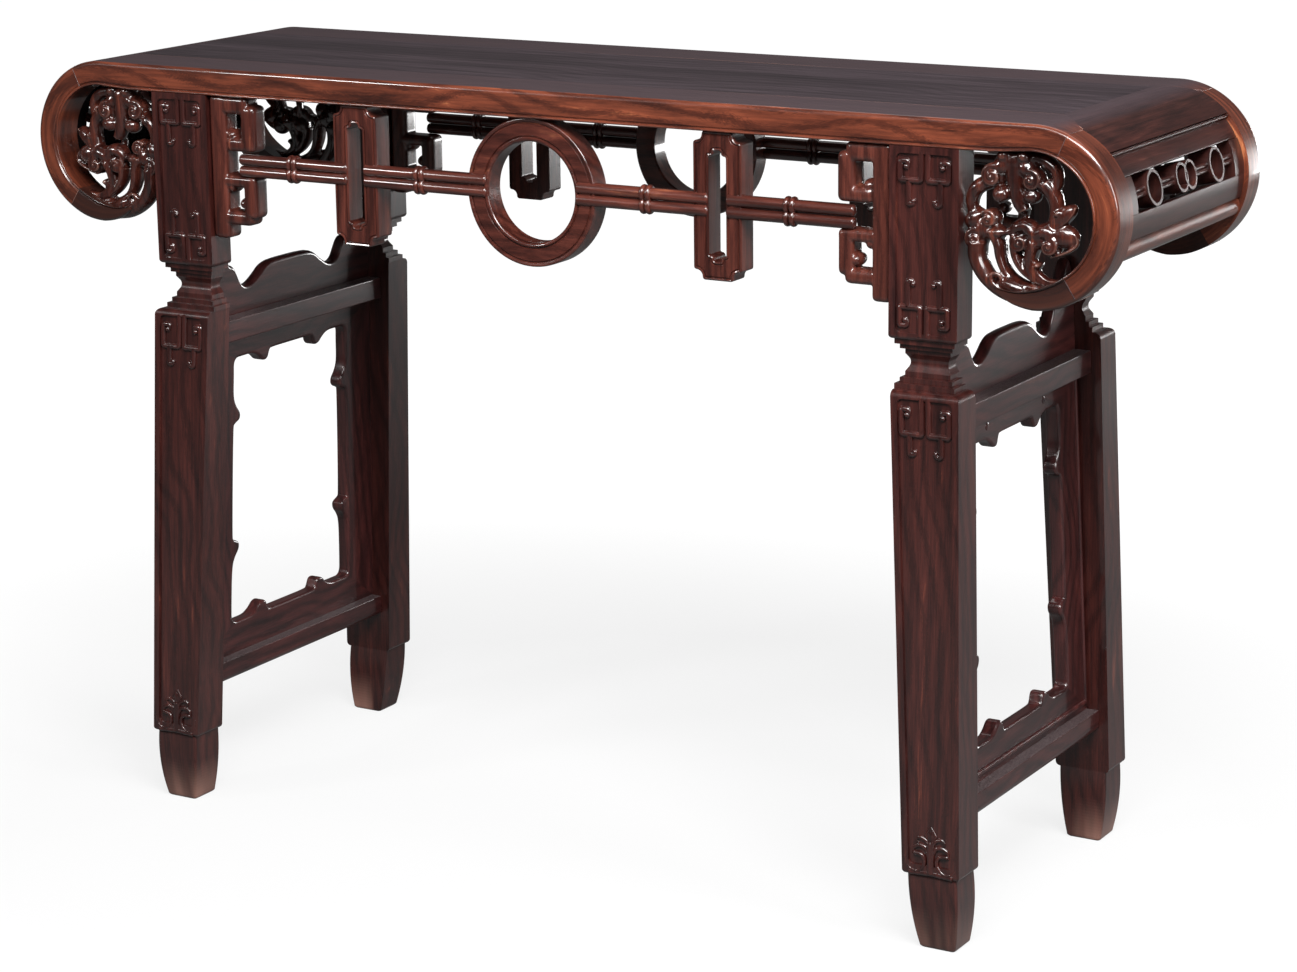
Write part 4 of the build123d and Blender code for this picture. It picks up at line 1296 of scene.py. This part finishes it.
bud = ((0, 131.5), (-5.2, 123.5), (0, 114.7), (5.8, 122.5), (0, 131.5))
bud_middle = (0.2, 0.4, 122.5)
bud_half_sizes = (4.6, 2.6, 7.2)
upper_leaf = ((1, 111), (5.0, 117.5), (11.7, 120.5), (16.0, 117), (13.2, 112.5))
lower_leaf = ((1.5, 103), (6, 110.6), (12.5, 112), (19.0, 108), (19.2, 102.0))
hook = (
    (17, 103.5), (10.0, 103), (6.6, 98.5), (6.6, 93.0), (10.4, 87.3), (16, 84.6),
    (22.6, 85.6), (27.0, 91), (28, 100),
)
hook_pearl = (17.5, 103.2, 2.2)
palmette_stem = ((0, 116), (0, 98), (0, 84))
palmette_ground = ((-24, 82.6), (0, 84), (24, 82.6))


def palmette(shape):
    """A bud between two pairs of curling leaves, over two scrolls of the border."""
    rib(shape, bud, 3.4, 1.4)
    ball(shape, place(*bud_middle), bud_half_sizes, pearl_segments)
    pearl_across, pearl_z, pearl_radius = hook_pearl
    for hand in (-1, 1):
        for path, width, corner, tip, lift in (
            (upper_leaf, 4.2, 2.0, 0.6, 0.0),
            (lower_leaf, 5.0, 2.4, 0.6, 0.0),
            (hook, 4.0, 2.4, 0.7, 1.5),
        ):
            rib(shape, [(hand * across, z) for across, z in path], width, corner, tip, lift)
        pearl(shape, hand * pearl_across, pearl_z, pearl_radius)
    rib(shape, palmette_stem, 9.0, 3)
    rib(shape, palmette_ground, 6.5, 3)


# %% The foot
foot_levels = [84.0, *(79.0 - 3.5 * step for step in range(22)), 2.0, 0.8, 0.0]
foot_corner = 3.0
foot_overlap = 0.3
floor_tuck = 1.6
foot_sides = (
    (450.0, 453.6, 461.0), (504.3, 505.0, 500.0), (-210.6, -209.4, -202.9), (-167.4, -165.0, -165.5)
)
foot_wear = 1.5
foot_wear_top = 50.0
foot_wear_fade = 1.5


def foot_outline(z):
    """The foot's rounded section at a height; its sides curve from shoulder to floor."""
    share = 1 - z / shaft_foot
    tuck = max(0.0, floor_tuck - z)
    left, right, front, back = (
        (top * (1 - share) * (1 - 2 * share) + 4 * middle * share * (1 - share)
         + low * share * (2 * share - 1))
        for top, middle, low in foot_sides
    )
    left, front = left + tuck + foot_corner, front + tuck + foot_corner
    right, back = right - tuck - foot_corner, back - tuck - foot_corner
    corners = ((right, back, 0), (left, back, 90), (left, front, 180), (right, front, 270))
    return [
        place(x, y, z) for across, along, start in corners
        for x, y in arc(across, along, foot_corner, start, start + 90, 4)
    ]


def foot(shape):
    """Put a smoothly curved foot, scuffed pale at the floor, in place of the plain one."""
    saw(shape, place(0, 0, shaft_foot - foot_overlap), Vector((0, 0, -1)))
    arris = face_mark(shape, "arris")
    loop, order = numbered_loop(shape, foot_outline(foot_levels[0]))
    cap(shape, loop)
    for level in foot_levels[1:]:
        loop = pull_to(shape, loop, order, foot_outline(level))
    cap(shape, loop)
    bmesh.ops.recalc_face_normals(shape, faces=shape.faces)
    for face in shape.faces:
        z = face.calc_center_median().z / MM
        if z < foot_wear_top:
            face[arris] = foot_wear * (1 - z / foot_wear_top) ** foot_wear_fade


# %% Four legs
relief_room = 1.85
relief_foot = shaft_foot - 0.4
leg_middle = -185.0
leg_rounding = 1.1
border_inset = 6.5
block_square, upper_tail, lower_tail = 26.5, 23.0, 26.0
shaft_square, shaft_tail = 35.0, 20.0


def draw_in(shape):
    """Lean the outer face in towards the foot, so that its carving stays in the leg's wood."""
    for vertex in shape.verts:
        z = vertex.co.z / MM
        if vertex.co.y < leg_middle * MM and relief_foot < z < shaft_top:
            vertex.co.y += relief_room * MM * (shaft_top - z) / shaft_length


def leg():
    """The front right leg with its frets and palmette."""
    shape = copy_node("front_right_leg")
    round_edges(shape, sharp_edges(shape), leg_rounding, 3)
    foot(shape)
    block = bmesh.new()
    fret_pair(block, rail_bottom - border_inset, 1, block_square, upper_tail)
    fret_pair(block, block_bottom + border_inset, -1, block_square, lower_tail)
    shaft = bmesh.new()
    fret_pair(shaft, shaft_top - border_inset, 1, shaft_square, shaft_tail)
    palmette(shaft)
    for matrix, relief in ((on_block, block), (on_shaft, shaft)):
        bmesh.ops.transform(relief, matrix=matrix, verts=relief.verts)
        join(shape, relief)
    draw_in(shape)
    return shape


for corner, shape in four_corners(leg()):
    finish_piece(corner + "_leg_carved", shape, "Z", "leg_rosewood", corner + "_leg")
print("legs", round(rail_bottom, 1), "to the floor")

# %% [markdown]
# ## The openwork aprons
#
# Under each long rail runs a fretwork band: a large ring in the middle, two upright
# loops, and a hooked bracket at each leg, tied together by twin reeds with little
# collars like bamboo. The ring is turned, so its moulded section is spun right round.
# The loops keep the frame's notched outline, and insets cut their grooves. A bracket is
# one square bar bent into hooks, so it is built from rounded bars and knobs fused into one skin.

# %% The ring
apron_front = front_y + 4.0
apron_depth = 26.0
ring_radius = 77.5
bore_radius = 53.0
ring_z = rail_bottom - ring_radius
bore_edge = 4.0
inner_bead = 2.6
outer_bead = 1.6
inner_groove = ((4.4, 2.3), (5.4, 2.3), (6.4, 0.8))
outer_groove = ((6.0, 0.8), (5.2, 2.1), (4.3, 2.1), (3.6, 0.5))
back_chamfer = 1.5
ring_steps = 96


def ring_section():
    """The ring's section: distance from its middle, and depth from its front."""
    return [
        (bore_radius, bore_edge),
        *arc(bore_radius + inner_bead, inner_bead, inner_bead, 180, 290, 5),
        *((bore_radius + out, deep) for out, deep in inner_groove),
        *((ring_radius - back, deep) for back, deep in outer_groove),
        *arc(ring_radius - outer_bead, outer_bead, outer_bead, 250, 360, 4),
        (ring_radius, apron_depth - back_chamfer),
        (ring_radius - back_chamfer, apron_depth),
        (bore_radius + back_chamfer, apron_depth),
        (bore_radius, apron_depth - back_chamfer),
    ]


def ring():
    """The turned ring of the front apron."""
    shape = bmesh.new()
    points = [place(0, apron_front + deep, ring_z + away) for away, deep in ring_section()]
    loop = draw_loop(shape, points)
    bmesh.ops.spin(
        shape, geom=loop_corners(loop) + loop, cent=place(0, 0, ring_z), axis=(0, 1, 0),
        angle=2 * pi, steps=ring_steps, use_merge=True,
    )
    outward(shape)
    return shape


turned_ring = ring()
finish_piece("back_ring_turned", mirrored(turned_ring, 1), "X", "apron_rosewood", "back_ring")
finish_piece("front_ring_turned", turned_ring, "X", "apron_rosewood", "front_ring")
print("ring", 2 * ring_radius, "mm across")


# %% Loops, as nested outlines
loop_offset = 220.5
loop_half_width = 27.5
loop_half_height = 75.5
slot_half_width = 10.0
slot_half_height = 56.0
loop_corner = (10.0, 3.0)
slot_corner = (5.6, 2.0)


def notched_outline(half_width, half_height, notch, curl, inset):
    """An upright rectangle whose corners step in with an ogee, drawn in by an inset."""
    hollow = notch - curl
    if inset < curl:
        corner = [
            *arc(half_width - curl, half_height - notch - curl, curl - inset, 0, 90, 4),
            *arc(half_width - curl, half_height - curl, hollow + inset, 270, 180, 6)[1:],
            *arc(half_width - notch - curl, half_height - curl, curl - inset, 0, 90, 4)[1:],
        ]
    else:
        past = inset - curl
        slip = degrees(asin(past / (hollow + inset)))
        hollow_arc = arc(
            half_width - curl, half_height - curl, hollow + inset, 270 - slip, 180 + slip, 6
        )
        corner = hollow_arc[:1] * 4 + hollow_arc + hollow_arc[-1:] * 4
    upper = corner + [(-x, z) for x, z in reversed(corner)]
    return upper + [(x, -z) for x, z in reversed(upper)]


loop_steps = (
    (False, 0.8, apron_depth), (False, 0.0, apron_depth - 0.8), (False, 0.0, 1.8), (False, 0.4, 0.7),
    (False, 1.4, 0.1), (False, 2.4, 0.5), (False, 2.8, 1.7), (False, 3.6, 1.7), (False, 4.4, 0.5),
    (True, -3.9, 0.5), (True, -3.4, 1.6), (True, -2.8, 1.6), (True, -2.3, 0.5), (True, -1.2, 0.1),
    (True, -0.3, 0.7), (True, 0.0, 1.8), (True, 0.0, apron_depth - 0.8),
    (True, -0.8, apron_depth), (False, 0.8, apron_depth),
)


def loop_points(of_slot, inset, deep):
    """One outline of the loop at its depth: of the slot, or of the loop itself."""
    if of_slot:
        outline = notched_outline(slot_half_width, slot_half_height, *slot_corner, inset)
    else:
        outline = notched_outline(loop_half_width, loop_half_height, *loop_corner, inset)
    middle = rail_bottom - loop_half_height
    return [place(loop_offset + x, apron_front + deep, middle + z) for x, z in outline]


def loop_piece():
    """The right loop of the front apron, carried through its outlines."""
    shape = bmesh.new()
    loop, order = numbered_loop(shape, loop_points(*loop_steps[0]))
    for step in loop_steps[1:]:
        loop = pull_to(shape, loop, order, loop_points(*step))
    outward(shape)
    return shape


for corner, shape in four_corners(loop_piece()):
    finish_piece(corner + "_loop_beaded", shape, "Z", "apron_rosewood", corner + "_loop")
print("loops", 2 * loop_half_height, "mm high")

# %% Brackets of rounded bars
bar_rounding = 6.0
knob_sunk = 1
knob_segments = (24, 12)
bracket_voxel = 1.2
bracket_edge = half_span - 0.5


def bar(shape, left, right, low, high, rounding=bar_rounding):
    """A rounded upright or level bar of the bracket."""
    centre = place((left + right) / 2, apron_front + apron_depth / 2, (low + high) / 2)
    size = Matrix.Diagonal(((right - left) * MM, apron_depth * MM, (high - low) * MM, 1))
    block = bmesh.new()
    bmesh.ops.create_cube(block, size=1.0, matrix=Matrix.Translation(centre) @ size)
    bevelled(block, block.edges[:], rounding, 4)
    join(shape, block)


def knob(shape, across, z, radius):
    """The round end of a hook."""
    centre = place(across, apron_front + apron_depth / 2, z)
    ball(shape, centre, (radius, apron_depth / 2 - knob_sunk, radius), knob_segments)


def bracket():
    """The bracket beside the front right leg: a stem, and a hook above and below."""
    shape = bmesh.new()
    bar(shape, bracket_edge - 21, bracket_edge, 654, rail_bottom, 5.0)
    bar(shape, 363, bracket_edge - 4, 791, rail_bottom)
    bar(shape, 354, 373, 751, 801)
    bar(shape, 354, 393, 750.5, 766)
    knob(shape, 387, 768, 6.6)
    bar(shape, 355, bracket_edge - 10, 711.5, 724.5, 5.5)
    knob(shape, 389.5, 710.5, 6.0)
    bar(shape, 355, 372, 677.5, 724.5)
    knob(shape, 373.5, 693.5, 6.8)
    bar(shape, 362, bracket_edge - 6, 669.5, 685)
    return fused(shape, bracket_voxel)


for corner, shape in four_corners(bracket()):
    bracket_node = corner + "_corner_bracket"
    finish_piece(corner + "_bracket_rounded", shape, "Z", "apron_rosewood", bracket_node)
print("brackets reach", round(bracket_edge, 1), "mm out")


# %% Twin reeds and their collars
rod_z = rail_bottom - 74.5
reed_radius = 6.2
reed_middle = apron_front - 3.0 + reed_radius
reed_end = ((0, 0.55), (0.9, 0.85), (2.6, 1.0))
collar_radius = 2.9
collar_shift = 3.3
collar_segments = 12
collar_steps = 32


def reeds(shape, start, end):
    """Two half-sunk reeds side by side, with rounded ends."""
    path = [(start + inset, share) for inset, share in reed_end]
    path += [(end - inset, share) for inset, share in reversed(reed_end)]
    for level in (-reed_radius, reed_radius):
        points = [place(across, reed_middle, rod_z + level) for across, _ in path]
        tube(shape, points, [reed_radius * share for _, share in path])


def collar(shape, across):
    """Two little rings round each reed."""
    upright = Matrix.Rotation(pi / 2, 4, "X")
    for level in (-reed_radius, reed_radius):
        for shift in (-collar_shift, collar_shift):
            hub = place(across + shift, reed_middle, rod_z + level)
            on_reed = Matrix.Translation(hub + place(0, 0, reed_radius))
            section = bmesh.ops.create_circle(
                shape, segments=collar_segments, radius=collar_radius * MM, matrix=on_reed @ upright
            )["verts"]
            edges = list({edge for vertex in section for edge in vertex.link_edges})
            bmesh.ops.spin(
                shape, geom=section + edges, cent=hub, axis=(1, 0, 0), angle=2 * pi,
                steps=collar_steps, use_merge=True,
            )


def rods(start, end, collar_at):
    """One run of twin reeds with its collar."""
    shape = bmesh.new()
    reeds(shape, start, end)
    collar(shape, collar_at)
    bmesh.ops.recalc_face_normals(shape, faces=shape.faces)
    return shape


bore_gap = 1.5
slot_gap = slot_half_width + 0.5
runs = {
    "inner_rods": (bore_radius + bore_gap, loop_offset - slot_gap, 138.0),
    "outer_rods": (loop_offset + slot_gap, 374.0, 303.0),
}
for run, (start, end, collar_at) in runs.items():
    for corner, shape in four_corners(rods(start, end, collar_at)):
        finish_piece(f"{corner}_{run}_reeded", shape, "X", "apron_rosewood", f"{corner}_{run}")
print("aprons done:", ", ".join(runs))

# %% [markdown]
# ## The side frames
#
# Between the legs of each end stand two stretchers, a wavy crest board, and four
# mitred boards round an opening with cusped spurs. These keep the frame's outlines.
# What makes them read as carved wood is how far each edge is rounded: the crest's top
# is almost a half round, the spurs are soft, and the joints hardly show. The flat
# ledges hold dust. Bead strips and the round ends of two pegs are laid on the boards.

# %% Crest boards, ring boards and stretchers
side_drift = -middle_drift
inner_side_top = 154.7
inner_drift = 12.75 / shaft_length
board_half = 8.0
smoothing_rounds = 3
near_share, far_share = 0.75, 0.25


def leg_x(z):
    """The middle plane of the side boards at a height."""
    return shaft_top_middle + side_drift * (shaft_top - z)


def inner_y(z):
    """The inner face of the legs at a height."""
    return inner_side_top + inner_drift * (shaft_top - z)


def smoothed(points, rounds):
    """An open path with its corners cut again and again into curves."""
    for _ in range(rounds):
        fresh = [points[0]]
        for (y, z), (next_y, next_z) in zip(points, points[1:]):
            for here, there in ((near_share, far_share), (far_share, near_share)):
                fresh.append((here * y + there * next_y, here * z + there * next_z))
        points = fresh + [points[-1]]
    return points


def moved_out(outline, distance):
    """An outline moved sideways, out of the opening and into the wood."""
    moved = []
    behind = outline[-1:] + outline[:-1]
    beyond = outline[1:] + outline[:1]
    for before, (y, z), after in zip(behind, outline, beyond):
        run = Vector((after[0] - before[0], after[1] - before[1])).normalized()
        moved.append((y - run.y * distance, z + run.x * distance))
    return moved


crest_half = 7.0
crest_wave = (
    (0, 51.5), (22, 51.5), (44, 50.0), (60, 38), (74, 30.5), (86, 30.0), (95, 36), (101, 47),
    (107, 56.5), (114, 57), (121, 66), (132, 82), (141, 95), (147.5, 100), (155.4, 60),
)
crest_drop = 19.0
crest_foot = shaft_top - crest_drop
crest_steps = ((5.2, 7.0), (3.2, 6.8), (1.6, 5.8), (0.5, 4.0), (0.0, 1.8))


def crest_board():
    """The right crest board: a section with a worn, round top, pulled along the wave."""
    shape = bmesh.new()
    wave = smoothed([(y, crest_foot + rise) for y, rise in crest_wave], smoothing_rounds)
    sections = []
    for y, z in [(-y, z) for y, z in reversed(wave)] + wave[1:]:
        near = [(crest_half, crest_foot)] + [(deep, z - inset) for inset, deep in crest_steps]
        whole = near + [(-deep, height) for deep, height in reversed(near)]
        sections.append([place(leg_x(height) + deep, y, height) for deep, height in whole])
    loop, order = numbered_loop(shape, sections[0])
    cap(shape, loop)
    for points in sections[1:]:
        loop = pull_to(shape, loop, order, points)
    cap(shape, loop)
    outward(shape)
    return shape


# %% The side opening's outline
stretcher_height = 25.0
stretcher_rounding = 1.6
frame_top = crest_foot - stretcher_height
frame_low = 151.0
frame_middle = (frame_top + frame_low) / 2
opening_top = frame_top - 26.0
opening_low = frame_low + 37.0
opening_side = 49.0
spur_height = 12.5
spur_profile = ((23, 0.0), (12, 0.4), (4, 1.0), (-5, 1.0), (-9, 0.16), (-12, 0.0))
top_spur = 50
bottom_spur = 56
upper_side_spur = opening_top - 68
lower_side_spur = opening_low + 90
corner_run = 20.0
never_zero = 1e-6


def opening_y(z):
    """Half the opening's width at a height, spurs apart."""
    return inner_y(z) - opening_side


def opening_outline():
    """Points (y, z) round the opening: edges, corners, and a spur towards each corner."""
    half = [(0.0, opening_top)]
    half += [(top_spur + run, opening_top - out * spur_height) for run, out in reversed(spur_profile)]
    side = opening_y(opening_top)
    half += [(side - corner_run, opening_top), (side, opening_top), (side, opening_top - corner_run)]
    upright = [(upper_side_spur + run, out) for run, out in spur_profile]
    upright += [(lower_side_spur - run, out) for run, out in reversed(spur_profile)]
    half += [(opening_y(z) - out * spur_height, z) for z, out in upright]
    side = opening_y(opening_low)
    half += [(side, opening_low + corner_run), (side, opening_low), (side - corner_run, opening_low)]
    half += [(bottom_spur + run, opening_low + out * spur_height) for run, out in spur_profile]
    half.append((0.0, opening_low))
    half = smoothed(half, smoothing_rounds)
    return half + [(-y, z) for y, z in reversed(half[1:-1])]


def outer_outline(outline):
    """The boards' outer edge, with a point for each point of the opening."""
    outer = []
    for y, z in outline:
        rise = z - frame_middle
        across = inner_y(frame_middle) / max(never_zero, abs(y) + inner_drift * rise)
        upright = (frame_top - frame_middle) / max(never_zero, abs(rise))
        share = min(across, upright)
        outer.append((y * share, frame_middle + rise * share))
    for corner_z in (frame_top, frame_low):
        for side in (-1, 1):
            corner = Vector((side * inner_y(corner_z), corner_z))
            reach = [(Vector(point) - corner).length for point in outer]
            outer[reach.index(min(reach))] = tuple(corner)
    return outer


# %% Four mitred boards
rim_steps = ((4.0, 8.0), (2.6, 8.0), (1.2, 7.5), (0.3, 6.4), (0.0, 5.0))


def ring_frame():
    """The four boards in one, before the mitres part them."""
    shape = bmesh.new()
    outline = opening_outline()
    outer = outer_outline(outline)
    near = [(moved_out(outline, inset), deep) for inset, deep in rim_steps]
    rings = [(outer, board_half), *near, *((points, -deep) for points, deep in reversed(near))]
    rings += [(outer, -board_half), (outer, board_half)]
    rings = [[place(leg_x(z) + deep, y, z) for y, z in points] for points, deep in rings]
    loop, order = numbered_loop(shape, rings[0])
    for points in rings[1:]:
        loop = pull_to(shape, loop, order, points)
    outward(shape)
    return shape


def parted(shape, start, end, keep):
    """Saw along a line in the side view and keep the side where a point lies."""
    start, end, keep = (Vector((0, y, z)) * MM for y, z in (start, end, keep))
    normal = Vector((1, 0, 0)).cross(end - start).normalized()
    if normal.dot(keep - start) > 0:
        normal.negate()
    saw(shape, start, normal)


far_out = 150
keep_points = {
    "top": (0, frame_top), "bottom": (0, frame_low),
    "front": (-far_out, frame_middle), "back": (far_out, frame_middle),
}
peg_z = 513.0
peg_across = 69
peg_radius = 4.2
peg_proud = 0.22 * peg_radius
peg_segments = (20, 10)


def ring_board(name):
    """A board of the right side opening, sawn from the whole frame at its mitres."""
    shape = ring_frame()
    keep = keep_points[name]
    for z, inner in ((frame_top, opening_top), (frame_low, opening_low)):
        for side in (-1, 1):
            if keep[1] == z or keep[0] * side > 0:
                parted(shape, (side * inner_y(z), z), (side * opening_y(inner), inner), keep)
    if keep[0]:
        parted(shape, (0, 0), (0, frame_middle), keep)
    if name == "top":
        for side in (-1, 1):
            peg = place(leg_x(peg_z) + board_half, side * peg_across, peg_z)
            ball(shape, peg, (peg_proud, peg_radius, peg_radius), peg_segments)
    outward(shape)
    return shape


strip_low = 160.0
strip_high = 523.0
strip_radius = 2.3
foot_strip_radius = 1.3 * strip_radius
strip_gap = 5


def strip_end(side, z):
    """A point on the boards' outer face, beside a leg."""
    return place(leg_x(z) + board_half, side * (inner_y(z) - strip_gap), z)


def strips(shape):
    """Bead strips beside the legs and along the foot of a side opening."""
    for side in (-1, 1):
        tube(shape, [strip_end(side, z) for z in (strip_low, strip_high)], [strip_radius] * 2)
    tube(shape, [strip_end(side, strip_low) for side in (-1, 1)], [foot_strip_radius] * 2)


def side_pieces():
    """Each right side piece with its name, grain and node."""
    yield "crest_board", crest_board(), "Y"
    for name, along in (("top", "Y"), ("bottom", "Y"), ("front", "Z"), ("back", "Z")):
        yield "ring_board_" + name, ring_board(name), along
    for name in ("upper_stretcher", "lower_stretcher"):
        shape = copy_node("right_" + name)
        round_edges(shape, sharp_edges(shape), stretcher_rounding)
        settle(shape)
        yield name, shape, "Y"


for name, shape, along in side_pieces():
    finish_sides(name, shape, along, slots["right_" + name])
bead_strips = bmesh.new()
strips(bead_strips)
finish_piece("left_bead_strips", mirrored(bead_strips, 0), "Z", "side_rosewood")
finish_piece("right_bead_strips", bead_strips, "Z", "side_rosewood")
print("side frames lean", round(side_drift, 4))

# %% [markdown]
# ## The end panels
#
# The flat top bends down between the scrolls, and below the bend an openwork frame
# holds a chain of rings cut from one board, with a round moulding at its foot. Light
# runs along every rounded edge here, and hardly any reaches the hollow behind. So the
# edges are rounded widely, and the faces that look into the scroll are marked with
# painted shade: their colour is painted nearly black and their polish taken away.

# %% Painted shade on the faces that look into the scroll
inward_share = -0.45


def paint_inside_shade(shape, side):
    """Mark the faces that look towards the scroll's axis with painted shade."""
    painted_shade = face_mark(shape, "painted_shade")
    axis = place(side * centre_x, 0, centre_z)
    for face in shape.faces:
        away = face.calc_center_median() - axis
        away.y = 0
        face[painted_shade] = float(face.normal.dot(away.normalized()) < inward_share)


# %% End boards, frames and rings
end_rounds = {
    "end_board": ("Y", 1.2, 2), "end_upper_rail": ("Y", 1.8, 3), "end_lower_rail": ("Y", 1.8, 3),
    "end_stiles": ("Z", 1.8, 3), "end_rings": ("Z", 0.8, 2), "end_moulding": ("Y", 0.8, 2),
}
lip_radius = 1.7
lip_angle = radians(42.6)
lip_reach = scroll_radius - 2.6
lip_half_length = 151.5


def end_lip(shape):
    """A thin bead under the end board's lower edge."""
    across = centre_x + lip_reach * cos(lip_angle)
    z = centre_z + lip_reach * sin(lip_angle)
    ends = [place(across, y, z) for y in (-lip_half_length, lip_half_length)]
    tube(shape, ends, [lip_radius] * 2)


for name, (along, arris, segments) in end_rounds.items():
    shape = copy_node("right_" + name)
    round_edges(shape, sharp_edges(shape), arris, segments)
    if name == "end_upper_rail":
        end_lip(shape)
    if name == "end_board":
        settle(shape)
    # Painted shade on the faces of the end pieces that look into the scroll, the rings apart.
    if name != "end_rings":
        paint_inside_shade(shape, 1)
    wood = "frame_rosewood" if name == "end_moulding" else slots["right_" + name]
    finish_sides(name, shape, along, wood)
print("end panels done")

# %% [markdown]
# ## The plain pieces
#
# The panel and the battens under it keep the frame's shapes, softened at their edges.

# %% Soften the plain pieces
plain = {"top_battens": ("Y", 0.8), "top_panel": ("X", 1.0)}
for name, (along, arris) in plain.items():
    shape = copy_node(name)
    round_edges(shape, sharp_edges(shape), arris)
    finish_piece(name + "_wood", shape, along, slots[name], name)
bare = [name for name, solid in frame["nodes"].items() if not solid.hide_render]
print("softened", sorted(plain), "and left bare", bare)
